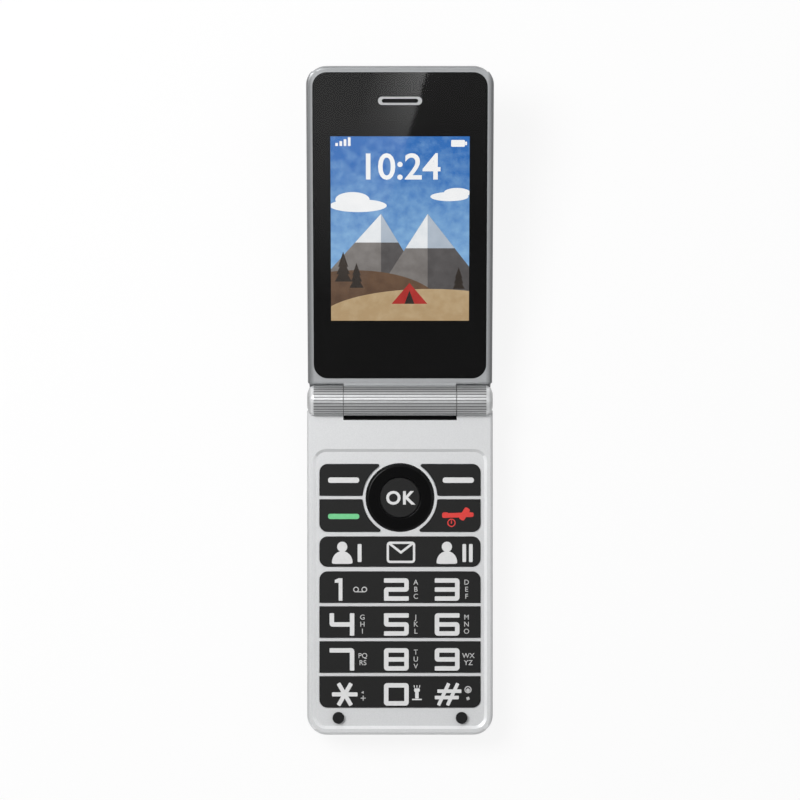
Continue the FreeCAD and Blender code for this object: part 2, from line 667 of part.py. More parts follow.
# Square-wire coil, ruled through one section for each straight run.
def hinge_spring():
    half = SPRING_WIRE / 2
    outer = CAN_BORE - RUNNING_FIT
    start, stop = SPRING_START + half, CAN_INNER - CAN_WALL - half
    count = SPRING_TURNS * SPRING_STEPS
    wires = []
    for index in range(count + 1):
        turn = 2 * math.pi * index / SPRING_STEPS
        x = start + (stop - start) * index / count
        corners = [(x - half, outer - SPRING_WIRE), (x + half, outer - SPRING_WIRE), (x + half, outer),
                   (x - half, outer)]
        points = [Vec(px, HINGE_Y + r * math.cos(turn), HINGE_Z + r * math.sin(turn)) for px, r in corners]
        wires.append(Part.makePolygon(points + points[:1]))
    return opened(Part.makeLoft(wires, True, True))


def pivot_bush():
    x0, x1 = CENTRE_HALF - BUSH_IN_BARREL, EAR_INNER + BUSH_IN_EAR
    return rod(x0, x1, CAN_RADIUS).cut(rod(x0 - OVERCUT, x1 + OVERCUT, BUSH_BORE))


# The cable lies flat in the barrel, with a tail square to it at each end.
def flex_run(x0, x1, grow=0.0):
    half, deep = FLEX_RUN / 2 + grow, FLEX_THICKNESS / 2 + grow
    return plate(x0, x1, HINGE_Y - half, HINGE_Y + half, FLEX_Z - deep, FLEX_Z + deep)


def base_tail(x_grow, thickness):
    level = BOARD_TOP + FLEX_THICKNESS / 2
    path = [(HINGE_Y, FLEX_Z), (HINGE_Y - CORE_RADIUS, FLEX_Z), (HINGE_Y - CAVITY_END, level),
            (HINGE_Y - CAVITY_END - FLEX_TAIL, level)]
    return ribbon(path, FLEX_X0 - x_grow, FLEX_X1 + x_grow, thickness)


def lid_tail(x_grow, thickness):
    half = FLEX_WIDTH / 2 + x_grow
    level = LID_SPLIT + FLEX_THICKNESS / 2
    path = [(HINGE_Y, FLEX_Z), (HINGE_Y + CORE_RADIUS, FLEX_Z), (HINGE_Y + LID_BOARD_START, level),
            (HINGE_Y + LID_BOARD_START + FLEX_TAIL, level)]
    return ribbon(path, LID_FLEX_X - half, LID_FLEX_X + half, thickness)


def flex_cable_base():
    return flex_run(FLEX_MEET, FLEX_X1).fuse(base_tail(0, FLEX_THICKNESS)).removeSplitter()


def flex_cable_lid():
    run = flex_run(LID_FLEX_X - FLEX_WIDTH / 2, FLEX_MEET - FLEX_CLEAR)
    return opened(run.fuse(lid_tail(0, FLEX_THICKNESS)).removeSplitter())


# Base
def domed_cap():
    cap = None
    for step in range(DOME_STEPS):
        turns = [math.pi / 2 * (step + i) / DOME_STEPS for i in (0, 1)]
        x0, x1 = [CAP_INNER + END_CAP * math.sin(t) for t in turns]
        r0, r1 = [BARREL_RADIUS - END_DOME * (1 - math.cos(t)) for t in turns]
        ring = Part.makeCone(r0, r1, x1 - x0, Vec(x0, HINGE_Y, HINGE_Z), ALONG_X)
        cap = cap.fuse(ring) if cap else ring
    return cap


def ear():
    core = rod(EAR_INNER, CAP_INNER, CORE_RADIUS)
    web = barrel_web(EAR_INNER, CAP_INNER, -1, BASE_END_SET + BARREL_RADIUS)
    return core.fuse([domed_cap(), web])


def base_plate(levels):
    far, near = FAR_CORNER, -NEAR_FLAT
    return stepped_plate(-BASE_HALF, BASE_HALF, BASE_LOW, BASE_HIGH, (far, far, near, near), levels)


def trough():
    return rod(-EAR_INNER, EAR_INNER, BARREL_RADIUS + TROUGH_GAP)


def keypad_recess():
    lift = RECESS_DEPTH + OVERCUT
    spread = RECESS_SLOPE * lift / RECESS_DEPTH
    low, high = BASE_LOW + RECESS_FOOT, HINGE_Y - RECESS_START
    r = RECESS_CORNER
    return stepped_plate(-RECESS_HALF, RECESS_HALF, low, high, (r, r, r, r),
                         [(RECESS_SLOPE, RECESS_FLOOR), (RECESS_SLOPE - spread, RECESS_FLOOR + lift)])


def key_openings():
    low, high = FASCIA_UNDER - OVERCUT, BASE_HEIGHT
    cuts = [side_key_block(k, SIDE_KEYS[k][3], KEY_CLEAR, low, high, NAV_ARC - KEY_CLEAR,
                           TIP_ROUND + KEY_CLEAR) for k in SIDE_KEYS]
    cuts += [bar_block(b, BARS[b][1], KEY_CLEAR, low, high) for b in BARS]
    cuts.append(post(0, NAV_Y, NAV_RADIUS + NAV_CLEAR, low, high))
    return cuts


def base_front_housing():
    body = base_plate(top_round(SPLIT_HEIGHT, BASE_HEIGHT, FRONT_EDGE))
    side, inner = BASE_HALF - WALL, FAR_CORNER - WALL
    hollow = plate(-side, side, BASE_LOW + WALL, HINGE_Y - CAVITY_END, SPLIT_HEIGHT - OVERCUT,
                   FASCIA_UNDER, (inner, inner, 0, 0))
    sleeve_seat = rod(EAR_INNER, CAP_INNER, BARREL_RADIUS + SLEEVE_FIT)
    body = body.cut([hollow, trough(), keypad_recess(), sleeve_seat, mirrored(sleeve_seat)])
    body = body.fuse([ear(), mirrored(ear())])
    cuts = key_openings()
    chamber = flex_run(EAR_INNER, FLEX_X1 + FLEX_CLEAR, FLEX_CLEAR)
    bush_seat = rod(EAR_INNER - OVERCUT, EAR_INNER + BUSH_IN_EAR, CAN_RADIUS)
    cuts += [hinge_cam_shaft(), chamber, bush_seat, base_tail(FLEX_CLEAR, FLEX_DUCT)]
    return body.cut(cuts).removeSplitter()


def base_back_block():
    return base_plate(bottom_round(0, SPLIT_HEIGHT, BACK_EDGE)).cut(trough())


def cover_zone(grow):
    x = BASE_HALF + OVERCUT
    return plate(-x, x, BASE_LOW - OVERCUT, COVER_END + grow, -OVERCUT, COVER_SIDE + grow)


def cover_inside(grow, z0, z1):
    side = BASE_HALF - WALL - grow
    r = FAR_CORNER - WALL - grow
    return plate(-side, side, BASE_LOW + WALL + grow, COVER_END + grow, z0, z1, (r, r, 0, 0))


def battery_cover():
    shell = base_back_block().common(cover_zone(0))
    return shell.cut(cover_inside(0, COVER_FLOOR, COVER_SIDE + OVERCUT)).removeSplitter()


def sound_slots():
    first = MODULE_Y - SLOT_PITCH * (SLOT_COUNT - 1) / 2
    half = SLOT_LENGTH / 2
    slots = []
    for index in range(SLOT_COUNT):
        y = first + SLOT_PITCH * index
        slots.append(plate(SPEAKER_X - half, SPEAKER_X + half, y - SLOT_WIDTH / 2, y + SLOT_WIDTH / 2,
                           -OVERCUT, SPEAKER_GRILLE))
    return slots


def base_rear_housing():
    body = base_back_block().cut(cover_zone(COVER_CLEAR))
    body = body.fuse(cover_inside(COVER_CLEAR, COVER_FLOOR + COVER_CLEAR, COVER_SIDE + COVER_CLEAR))
    top = SPLIT_HEIGHT
    cuts = [plate(-POCKET_HALF, POCKET_HALF, BATTERY_LOW - BATTERY_CLEAR, POCKET_HIGH, 0, BATTERY_TOP)]
    usb = USB_WIDTH / 2 + USB_CLEAR
    cuts.append(plate(-usb, usb, BASE_LOW - OVERCUT, BASE_LOW + USB_DEPTH + USB_CLEAR,
                      top - USB_HEIGHT - USB_CLEAR, top))
    cuts += [mic_block(POCKET_CLEAR), mic_hole(), antenna_block(POCKET_CLEAR), camera_body(POCKET_CLEAR)]
    cuts.append(post(CAMERA_X, MODULE_Y, CAMERA_GLASS, -OVERCUT, CAMERA_SEAT))
    cuts.append(square_post(CAMERA_X, MODULE_Y, CAMERA_EYE + 2 * POCKET_CLEAR, 0, top))
    cuts.append(square_post(TORCH_X, MODULE_Y, TORCH_SIZE, -OVERCUT, top))
    cuts.append(speaker_block(POCKET_CLEAR, top))
    cuts.append(motor_block(POCKET_CLEAR))
    cuts += sound_slots()
    return body.cut(cuts).removeSplitter()


def main_circuit_board():
    side = BASE_HALF - WALL - BOARD_CLEAR
    r = FAR_CORNER - WALL - BOARD_CLEAR
    return plate(-side, side, BASE_LOW + WALL + BOARD_CLEAR, HINGE_Y - CAVITY_END - BOARD_CLEAR,
                 SPLIT_HEIGHT, BOARD_TOP, (r, r, 0, 0))


def battery_pack():
    r = -BATTERY_FLAT
    return plate(-BATTERY_HALF, BATTERY_HALF, BATTERY_LOW, BATTERY_HIGH,
                 COVER_FLOOR + COVER_CLEAR, BATTERY_TOP - BATTERY_CLEAR, (r, r, r, r))


# Moulded block with sprung fingers, parted by slots.
def battery_contacts():
    start = BATTERY_HIGH + BATTERY_CLEAR
    x0, x1 = CONTACT_X - CONTACT_WIDTH / 2, CONTACT_X + CONTACT_WIDTH / 2
    low = BATTERY_TOP - CONTACT_HEIGHT
    block = plate(x0, x1, start, start + CONTACT_DEPTH, low, BATTERY_TOP)
    slot = CONTACT_WIDTH / (2 * CONTACT_FINGERS + 1)
    gaps = [plate(x0 + slot * i, x0 + slot * (i + 1), start - OVERCUT, start + CONTACT_SLOT,
                  low - OVERCUT, BATTERY_TOP - CONTACT_SLOT) for i in range(2, 2 * CONTACT_FINGERS, 2)]
    return block.cut(gaps)


def sim_card_holder():
    y1 = SIM_HIGH
    x0, x1 = SIM_X - SIM_WIDTH / 2, SIM_X + SIM_WIDTH / 2
    low = BATTERY_TOP - SIM_HEIGHT
    cage = plate(x0, x1, y1 - SIM_DEPTH, y1, low, BATTERY_TOP)
    return cage.cut(plate(x0 + SHEET, x1 - SHEET, y1 - SIM_DEPTH - OVERCUT, y1 - SHEET,
                          low + SHEET, low + SHEET + SIM_CARD))


def usb_port():
    half, top, y0 = USB_WIDTH / 2, SPLIT_HEIGHT, BASE_LOW + USB_CLEAR
    low, back = top - USB_HEIGHT, BASE_LOW + USB_DEPTH
    shell = plate(-half, half, y0, back, low, top)
    mouth = plate(-half + SHEET, half - SHEET, y0 - OVERCUT, back - SHEET, low + SHEET, top - SHEET)
    tongue = plate(-USB_TONGUE / 2, USB_TONGUE / 2, y0 + SHEET, back, top - SHEET - USB_TONGUE_THICKNESS,
                   top - SHEET)
    return shell.cut(mouth).fuse(tongue).removeSplitter()


def mic_block(grow):
    y0 = BASE_LOW + WALL + BOARD_CLEAR
    half = MIC_SIZE / 2 + grow
    return plate(MIC_X - half, MIC_X + half, y0 - grow, y0 + MIC_SIZE + grow,
                 SPLIT_HEIGHT - MIC_HEIGHT - grow, SPLIT_HEIGHT)


def mic_hole():
    at = Vec(MIC_X, BASE_LOW - OVERCUT, SPLIT_HEIGHT - MIC_HEIGHT / 2)
    return Part.makeCylinder(MIC_HOLE, WALL + BOARD_CLEAR + OVERCUT, at, Vec(0, 1, 0))


def antenna_block(grow):
    y0 = BASE_LOW + WALL + BOARD_CLEAR
    half = ANTENNA_WIDTH / 2 + grow
    return plate(ANTENNA_X - half, ANTENNA_X + half, y0 - grow, y0 + ANTENNA_DEPTH + grow,
                 SPLIT_HEIGHT - ANTENNA_HEIGHT - grow, SPLIT_HEIGHT)


def camera_body(grow):
    return square_post(CAMERA_X, MODULE_Y, CAMERA_SIZE + 2 * grow, CAMERA_SEAT + CAMERA_GLASS_THICKNESS,
                       SPLIT_HEIGHT)


def camera_module():
    eye = square_post(CAMERA_X, MODULE_Y, CAMERA_EYE, CAMERA_SEAT, SPLIT_HEIGHT)
    return camera_body(0).fuse(eye).removeSplitter()


def camera_window():
    return post(CAMERA_X, MODULE_Y, CAMERA_GLASS, CAMERA_GLASS_SET, CAMERA_SEAT)


def torch_led():
    return square_post(TORCH_X, MODULE_Y, TORCH_SIZE, TORCH_SET, SPLIT_HEIGHT)


def speaker_block(grow, top):
    half_x, half_y = SPEAKER_WIDTH / 2 + grow, SPEAKER_DEPTH / 2 + grow
    return plate(SPEAKER_X - half_x, SPEAKER_X + half_x, MODULE_Y - half_y, MODULE_Y + half_y,
                 SPEAKER_GRILLE, top)


def motor_block(grow):
    half_x, half_y = MOTOR_WIDTH / 2 + grow, MOTOR_DEPTH / 2 + grow
    return plate(MOTOR_X - half_x, MOTOR_X + half_x, MOTOR_Y - half_y, MOTOR_Y + half_y,
                 SPLIT_HEIGHT - MOTOR_HEIGHT, SPLIT_HEIGHT)


# Lid
def lid_plate(x_half, start, stop, z0, z1, near=0, far=0):
    return plate(-x_half, x_half, HINGE_Y + start, HINGE_Y + stop, z0, z1, (near, near, far, far))


def lid_shell(levels):
    far, near = FAR_CORNER, -NEAR_FLAT
    return stepped_plate(-LID_HALF, LID_HALF, HINGE_Y + LID_START, HINGE_Y + LID_REACH,
                         (near, near, far, far), levels)


def window_block(grow, z0, z1):
    return lid_plate(WINDOW_HALF + grow, WINDOW_START - grow, WINDOW_STOP + grow, z0, z1,
                     WINDOW_NEAR_CORNER + grow, WINDOW_FAR_CORNER + grow)


def panel_block(grow, z0, z1):
    return lid_plate(PANEL_HALF + grow, PANEL_START - grow, PANEL_STOP + grow, z0, z1)


def lid_board_block(grow, z0, z1):
    return lid_plate(LID_BOARD_HALF + grow, LID_BOARD_START - grow, LID_BOARD_STOP + grow, z0, z1)


def capsule_block(grow):
    half_x, half_y = CAPSULE_WIDTH / 2 + grow, CAPSULE_DEPTH / 2 + grow
    y = HINGE_Y + EAR_REACH
    return plate(-half_x, half_x, y - half_y, y + half_y, LID_SPLIT, LID_SPLIT + CAPSULE_HEIGHT)


def magnet_block(grow):
    x0, y0 = MAGNET_X - MAGNET_LENGTH / 2, HINGE_Y + LID_REACH - MAGNET_FAR
    return plate(x0 - grow, x0 + MAGNET_LENGTH + grow, y0 - grow, y0 + MAGNET_DEPTH + grow,
                 LID_SPLIT, LID_SPLIT + MAGNET_HEIGHT + grow)


# Lip that follows the side barrel from below, so that no gap shows beside it.
def barrel_cove():
    x0, x1 = CENTRE_HALF, LID_HALF - NEAR_FLAT
    lip = plate(x0, x1, HINGE_Y + COVE_START, HINGE_Y + WINDOW_START, LID_SPLIT, HINGE_Z - COVE_DROP)
    return lip.cut(rod(x0 - OVERCUT, x1 + OVERCUT, BARREL_RADIUS + COVE_GAP))


def lid_front_frame():
    body = lid_shell(top_round(LID_SPLIT, LID_FACE, FRONT_EDGE))
    bridge = plate(-CENTRE_HALF, CENTRE_HALF, HINGE_Y, HINGE_Y + WINDOW_START,
                   HINGE_Z - BARREL_RADIUS, LID_FACE - BRIDGE_SET)
    bridge = bridge.cut(rod(-CENTRE_HALF, CENTRE_HALF, BARREL_RADIUS))
    core = rod(-CENTRE_HALF, CENTRE_HALF, CORE_RADIUS)
    web = barrel_web(-CENTRE_HALF, CENTRE_HALF, 1, WINDOW_START)
    body = body.fuse([bridge, core, web, barrel_cove(), mirrored(barrel_cove())])
    slot = stadium(0, HINGE_Y + EAR_REACH, EAR_SLOT_WIDTH, EAR_SLOT_HEIGHT, LID_SPLIT, LID_FACE)
    cuts = [window_block(0, GASKET_LOW, LID_FACE + OVERCUT), panel_block(PANEL_CLEAR, LID_SPLIT, GASKET_LOW),
            capsule_block(POCKET_CLEAR), slot, magnet_block(POCKET_CLEAR), lid_tail(FLEX_CLEAR, FLEX_DUCT),
            rod(-CENTRE_HALF - OVERCUT, CAN_INNER, CAN_RADIUS),
            rod(FLEX_BORE, CENTRE_HALF + OVERCUT, CAN_RADIUS + RUNNING_FIT)]
    return opened(body.cut(cuts).removeSplitter())


def lid_back_cover():
    body = lid_shell(bottom_round(LID_BACK, LID_SPLIT, BACK_EDGE))
    seat = LID_SPLIT - LID_BOARD_THICKNESS
    well = lid_plate(LID_BOARD_HALF - LID_LEDGE, LID_BOARD_START + LID_LEDGE, LID_BOARD_STOP - LID_LEDGE,
                     LID_BACK + LID_BACK_WALL, seat)
    return opened(body.cut([lid_board_block(BOARD_CLEAR / 2, seat, LID_SPLIT), well]).removeSplitter())


def lid_circuit_board():
    return opened(lid_board_block(0, LID_SPLIT - LID_BOARD_THICKNESS, LID_SPLIT))


def display_window():
    glass = window_block(-WINDOW_CLEAR, WINDOW_LOW, WINDOW_TOP)
    hole = stadium(0, HINGE_Y + EAR_REACH, EAR_WIDTH, EAR_HEIGHT, WINDOW_LOW - OVERCUT, WINDOW_TOP + OVERCUT)
    return opened(glass.cut(hole))


def gasket_outline(inset, z0, z1):
    return lid_plate(WINDOW_HALF - inset, WINDOW_START + inset, WINDOW_STOP - inset, z0, z1,
                     -WINDOW_NEAR_CORNER, -WINDOW_FAR_CORNER)


def window_gasket():
    ring = gasket_outline(WINDOW_CLEAR, GASKET_LOW, WINDOW_LOW)
    inner = gasket_outline(WINDOW_CLEAR + GASKET_WIDTH, GASKET_LOW - OVERCUT, WINDOW_LOW + OVERCUT)
    return opened(ring.cut(inner))


def display_panel():
    return opened(panel_block(0, PANEL_LOW, PANEL_TOP))


def display_backlight():
    return opened(panel_block(0, LID_SPLIT, PANEL_LOW))


def earpiece_bezel():
    y, top = HINGE_Y + EAR_REACH, WINDOW_TOP + EAR_PROUD
    ring = stadium(0, y, EAR_WIDTH, EAR_HEIGHT, GASKET_LOW, top)
    slot = stadium(0, y, EAR_SLOT_WIDTH, EAR_SLOT_HEIGHT, GASKET_LOW - OVERCUT, top + OVERCUT)
    return opened(ring.cut(slot))


def earpiece_mesh():
    top = WINDOW_TOP - MESH_SET
    return opened(stadium(0, HINGE_Y + EAR_REACH, EAR_SLOT_WIDTH, EAR_SLOT_HEIGHT, top - MESH_THICKNESS, top))


NODES = {
    "base_front_housing": base_front_housing(),
    "base_rear_housing": base_rear_housing(),
    "battery_cover": battery_cover(),
    "battery_pack": battery_pack(),
    "battery_contacts": battery_contacts(),
    "sim_card_holder": sim_card_holder(),
    "main_circuit_board": main_circuit_board(),
    "keypad_dome_sheet": keypad_dome_sheet(),
    "keypad_rubber_web": keypad_rubber_web(),
    "lid_bumpers": lid_bumpers(),
    "usb_port": usb_port(),
    "microphone": mic_block(0),
    "antenna": antenna_block(0),
    "camera_module": camera_module(),
    "camera_window": camera_window(),
    "torch_led": torch_led(),
    "loudspeaker": speaker_block(0, SPEAKER_GRILLE + SPEAKER_HEIGHT),
    "vibration_motor": motor_block(0),
    "hinge_sleeve_right": side_sleeve(),
    "hinge_sleeve_left": mirrored(side_sleeve()),
    "hinge_cam_shaft": hinge_cam_shaft(),
    "pivot_bush": pivot_bush(),
    "flex_cable_base": flex_cable_base(),
    "hinge_can": hinge_can(),
    "hinge_cam_follower": hinge_cam_follower(),
    "hinge_spring": hinge_spring(),
    "hinge_sleeve_centre": centre_sleeve(),
    "flex_cable_lid": flex_cable_lid(),
    "lid_front_frame": lid_front_frame(),
    "lid_back_cover": lid_back_cover(),
    "lid_circuit_board": lid_circuit_board(),
    "display_window": display_window(),
    "window_gasket": window_gasket(),
    "display_panel": display_panel(),
    "display_backlight": display_backlight(),
    "earpiece_bezel": earpiece_bezel(),
    "earpiece_mesh": earpiece_mesh(),
    "earpiece_speaker": opened(capsule_block(0)),
    "lid_magnet": opened(magnet_block(0)),
    "nav_ring_pad": nav_ring_pad(),
    "nav_ring": nav_ring(),
    "ok_key": ok_key(),
}
for key_name in SIDE_KEYS:
    NODES[key_name] = side_key(key_name)
for bar_name in BARS:
    NODES[bar_name + "_pad"] = bar_pad(bar_name)
    NODES[bar_name + "_key"] = key_bar(bar_name)

os.makedirs("parts", exist_ok=True)
for node, shape in NODES.items():
    shape.exportStep("parts/" + node + ".step")
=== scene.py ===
import json
import math

import bpy
from mathutils import Matrix, Vector


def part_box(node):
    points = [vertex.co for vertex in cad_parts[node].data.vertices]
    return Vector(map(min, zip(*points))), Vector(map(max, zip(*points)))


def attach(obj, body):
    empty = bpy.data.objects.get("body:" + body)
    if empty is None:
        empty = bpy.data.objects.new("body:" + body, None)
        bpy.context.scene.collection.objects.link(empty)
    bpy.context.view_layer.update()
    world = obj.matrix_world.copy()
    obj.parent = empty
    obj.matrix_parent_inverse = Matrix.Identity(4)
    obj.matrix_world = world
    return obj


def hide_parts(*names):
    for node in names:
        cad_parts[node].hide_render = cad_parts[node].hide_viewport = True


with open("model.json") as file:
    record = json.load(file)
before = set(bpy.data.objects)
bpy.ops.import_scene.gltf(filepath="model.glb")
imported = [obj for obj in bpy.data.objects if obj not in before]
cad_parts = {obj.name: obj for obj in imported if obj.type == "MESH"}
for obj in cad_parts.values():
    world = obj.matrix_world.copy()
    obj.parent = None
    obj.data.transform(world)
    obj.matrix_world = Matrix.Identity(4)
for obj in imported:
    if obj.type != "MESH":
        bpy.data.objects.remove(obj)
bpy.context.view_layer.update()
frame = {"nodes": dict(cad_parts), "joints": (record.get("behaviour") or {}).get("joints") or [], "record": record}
nodes = frame["nodes"]
mm = 0.001
print("frame loaded:", len(nodes), "nodes")

# where the lid turns, and how far the open lid leans up from flat
fold = next(j for j in frame["joints"] if j["name"] == "lid_fold")
hinge = Vector(fold["pos_m"])
lidTilt = math.pi - math.radians(fold["range_deg"][1])
lidTurn = Matrix.Rotation(lidTilt, 3, "X")
bodyOf = {n: b for b, members in frame["record"]["behaviour"]["bodies"].items() for n in members}


def linear(hexColour):
    values = [int(hexColour[i:i + 2], 16) / 255 for i in (1, 3, 5)]
    return [v / 12.92 if v <= 0.04045 else ((v + 0.055) / 1.055) ** 2.4 for v in values] + [1.0]


# adds one node, sets its sockets or its own options, and links what feeds it
def addNode(tree, kind, settings=None, links=None):
    node = tree.nodes.new(kind)
    for key, value in (settings or {}).items():
        if isinstance(key, int) or key in node.inputs:
            node.inputs[key].default_value = value
        else:
            setattr(node, key, value)
    for key, source in (links or {}).items():
        tree.links.new(source, node.inputs[key])
    return node


# a surface with a soft mottle in its colour and, if asked, a fine grain in its height
def surface(name, colour, fleck, grain, settings, bump=0.0):
    material = bpy.data.materials.new(name)
    material.use_nodes = True
    tree = material.node_tree
    tree.nodes.clear()
    place = addNode(tree, "ShaderNodeTexCoord")
    noise = addNode(tree, "ShaderNodeTexNoise", {"Scale": 1 / (grain * mm), "Detail": 3.0},
                    {"Vector": place.outputs["Object"]})
    ramp = addNode(tree, "ShaderNodeValToRGB", {}, {"Fac": noise.outputs["Fac"]})
    ramp.color_ramp.elements[0].position = 0.3
    ramp.color_ramp.elements[1].position = 0.7
    ramp.color_ramp.elements[0].color = linear(colour)
    ramp.color_ramp.elements[1].color = linear(fleck)
    shader = addNode(tree, "ShaderNodeBsdfPrincipled", settings, {"Base Color": ramp.outputs["Color"]})
    if bump:
        height = addNode(tree, "ShaderNodeBump", {"Strength": 0.3, "Distance": bump * mm},
                         {"Height": noise.outputs["Fac"]})
        tree.links.new(height.outputs["Normal"], shader.inputs["Normal"])
    addNode(tree, "ShaderNodeOutputMaterial", {}, {"Surface": shader.outputs["BSDF"]})
    return material


# multiplies a finish by a second colour
def tinted(material, colour):
    tree = material.node_tree
    shader = next(n for n in tree.nodes if n.type == "BSDF_PRINCIPLED")
    blend = addNode(tree, "ShaderNodeMix", {"data_type": "RGBA", "blend_type": "MULTIPLY", "Factor": 1.0})
    tree.links.new(shader.inputs["Base Color"].links[0].from_socket, blend.inputs[6])
    tree.links.new(colour, blend.inputs[7])
    tree.links.new(blend.outputs[2], shader.inputs["Base Color"])


# darkens a finish along an axis, out towards the edges on both sides: painted shade on edges that turn away from
# the light
def darkOutwards(material, axis, start, stop, tone):
    tree = material.node_tree
    place = next(n for n in tree.nodes if n.type == "TEX_COORD")
    apart = addNode(tree, "ShaderNodeSeparateXYZ", {}, {"Vector": place.outputs["Object"]})
    across = addNode(tree, "ShaderNodeMath", {"operation": "ABSOLUTE"}, {0: apart.outputs[axis]})
    share = addNode(tree, "ShaderNodeMapRange", {"From Min": start * mm, "From Max": stop * mm},
                    {"Value": across.outputs[0]})
    shade = addNode(tree, "ShaderNodeValToRGB", {}, {"Fac": share.outputs["Result"]})
    shade.color_ramp.elements[0].color = (1, 1, 1, 1)
    shade.color_ramp.elements[1].color = linear(tone)
    tinted(material, shade.outputs["Color"])


# painted shade at the outer edges: the axis, where it starts and stops in millimetres, and the tone it comes down
# to
paintedEdgeShade = {
    "base": ("X", 23.9, 24.65, "#d4d4d4"), "rimSide": ("X", 22.75, 24.1, "#a4a4a4"),
    "rimEnd": ("Y", 130.2, 131.2, "#d0d0d0"), "barrelCap": ("X", 23.5, 24.6, "#858585"),
}
# ABS sprayed with silver lacquer: flakes too fine to show one by one, drawn 0.25 mm wide
silverLacquer = surface("silver lacquer on ABS", "#d9dadb", "#e1e2e3", 0.25,
                       {"Metallic": 0.2, "Roughness": 0.42, "IOR": 1.5})
# painted shade: the base's lacquer darkens out to its side edges
darkOutwards(silverLacquer, *paintedEdgeShade["base"])
# the lid's rim has a darker coat of the same lacquer; painted shade darkens it from beside the window out to the
# outer edge and towards the far end
rimLacquer = surface("grey silver lacquer on ABS", "#b4b6b8", "#bec0c2", 0.25,
                    {"Metallic": 0.4, "Roughness": 0.46, "IOR": 1.5})
darkOutwards(rimLacquer, *paintedEdgeShade["rimSide"])
darkOutwards(rimLacquer, *paintedEdgeShade["rimEnd"])
# the domed ends of the barrel are lacquered grey, like anodised metal, with painted shade darkening them out to
# their ends
capLacquer = surface("grey lacquer on ABS", "#e0e1e2", "#e8e9ea", 0.3, {"Metallic": 0.3, "Roughness": 0.3})
darkOutwards(capLacquer, *paintedEdgeShade["barrelCap"])
# painted highlight: the keypad's sloping walls, all but the top one, get a brighter lacquer than the face, with a
# smoother finish
highlightWallLacquer = surface("silver lacquer with painted highlight", "#f0f1f2", "#f5f6f7", 0.4,
                      {"Metallic": 0.15, "Roughness": 0.32, "IOR": 1.5})


barrelRibs = {"crest": "#ffffff", "grooveShade": "#8c8c8c", "radius": 4.06, "depth": 0.14, "flat": 0.75}


# extruded aluminium, anodised clear, with painted shade: bright on the ribs, darker down in the grooves
def ribbedMetal(name, ribs):
    material = surface(name, "#d8d9da", "#e0e1e2", 0.4, {"Metallic": 0.78, "Roughness": 0.5})
    tree = material.node_tree
    place = next(n for n in tree.nodes if n.type == "TEX_COORD")
    offset = addNode(tree, "ShaderNodeVectorMath", {"operation": "SUBTRACT", 1: hinge},
                     {0: place.outputs["Object"]})
    section = addNode(tree, "ShaderNodeVectorMath", {"operation": "MULTIPLY", 1: (0, 1, 1)},
                      {0: offset.outputs["Vector"]})
    reach = addNode(tree, "ShaderNodeVectorMath", {"operation": "LENGTH"}, {0: section.outputs["Vector"]})
    # painted shade: the colour darkens with depth into the grooves
    bottom, top = ribs["radius"] - ribs["depth"], ribs["radius"]
    share = addNode(tree, "ShaderNodeMapRange", {"From Min": bottom * mm, "From Max": top * mm},
                    {"Value": reach.outputs["Value"]})
    tone = addNode(tree, "ShaderNodeValToRGB", {}, {"Fac": share.outputs["Result"]})
    tone.color_ramp.elements[0].color = linear(ribs["grooveShade"])
    tone.color_ramp.elements[1].color = linear(ribs["crest"])
    tone.color_ramp.elements[1].position = ribs["flat"]
    tinted(material, tone.outputs["Color"])
    return material


barrelAluminium = ribbedMetal("ribbed anodised aluminium, painted groove shade", barrelRibs)
# moulded ABS with a spark-eroded texture: even satin black
shellAbs = surface("textured black ABS", "#161718", "#1c1d1e", 0.3, {"Roughness": 0.5, "IOR": 1.53}, 0.03)
# painted shade: near-black in the hinge trough, where no light reaches
troughShadeBlack = surface("near-black painted shade", "#040404", "#070707", 0.4,
                    {"Roughness": 0.8, "Specular IOR Level": 0.1})
# hard keycaps with a matt coat
keyAbs = surface("satin black ABS", "#1c1c1c", "#202020", 0.3,
                 {"Roughness": 0.5, "IOR": 1.5, "Specular IOR Level": 0.2}, 0.01)
# polished polycarbonate: near black, sharp reflections
navPc = surface("polished black polycarbonate", "#030303", "#040405", 2.0,
                {"Roughness": 0.24, "IOR": 1.58, "Specular IOR Level": 0.18})
# moulded silicone: dull, slightly translucent grey
silicone = surface("moulded silicone", "#47484a", "#4e4f51", 0.6, {"Roughness": 0.7, "IOR": 1.41})
# soft rubber pads
padRubber = surface("soft black rubber", "#131314", "#171718", 0.4,
                    {"Roughness": 0.75, "IOR": 1.5, "Specular IOR Level": 0.3}, 0.02)
# hard-coated acrylic, clear
clearAcrylic = surface("clear PMMA", "#ffffff", "#fbfbfb", 4.0,
                      {"Roughness": 0.02, "IOR": 1.49, "Transmission Weight": 1.0})
# black ink on the back of the window
windowInk = surface("black screen ink", "#070707", "#09090a", 3.0,
                    {"Roughness": 0.6, "Specular IOR Level": 0.0})
# glass fibre board under green solder resist
boardResist = surface("green solder resist", "#1d5a38", "#246743", 1.2, {"Roughness": 0.35, "IOR": 1.55})
# bright rolled steel
rolledSteel = surface("rolled steel", "#b9babb", "#c6c7c8", 0.5, {"Metallic": 1.0, "Roughness": 0.25})
# plated spring contacts
goldPlate = surface("gold plated bronze", "#c9a24d", "#d3ae5c", 0.5, {"Metallic": 1.0, "Roughness": 0.22})
# shrink film over the cell
cellFilm = surface("printed shrink film", "#4a4d52", "#53565b", 1.5, {"Roughness": 0.4, "IOR": 1.5})
# amber polyimide
polyimide = surface("amber polyimide film", "#a9631f", "#b87029", 0.8, {"Roughness": 0.35, "IOR": 1.6})
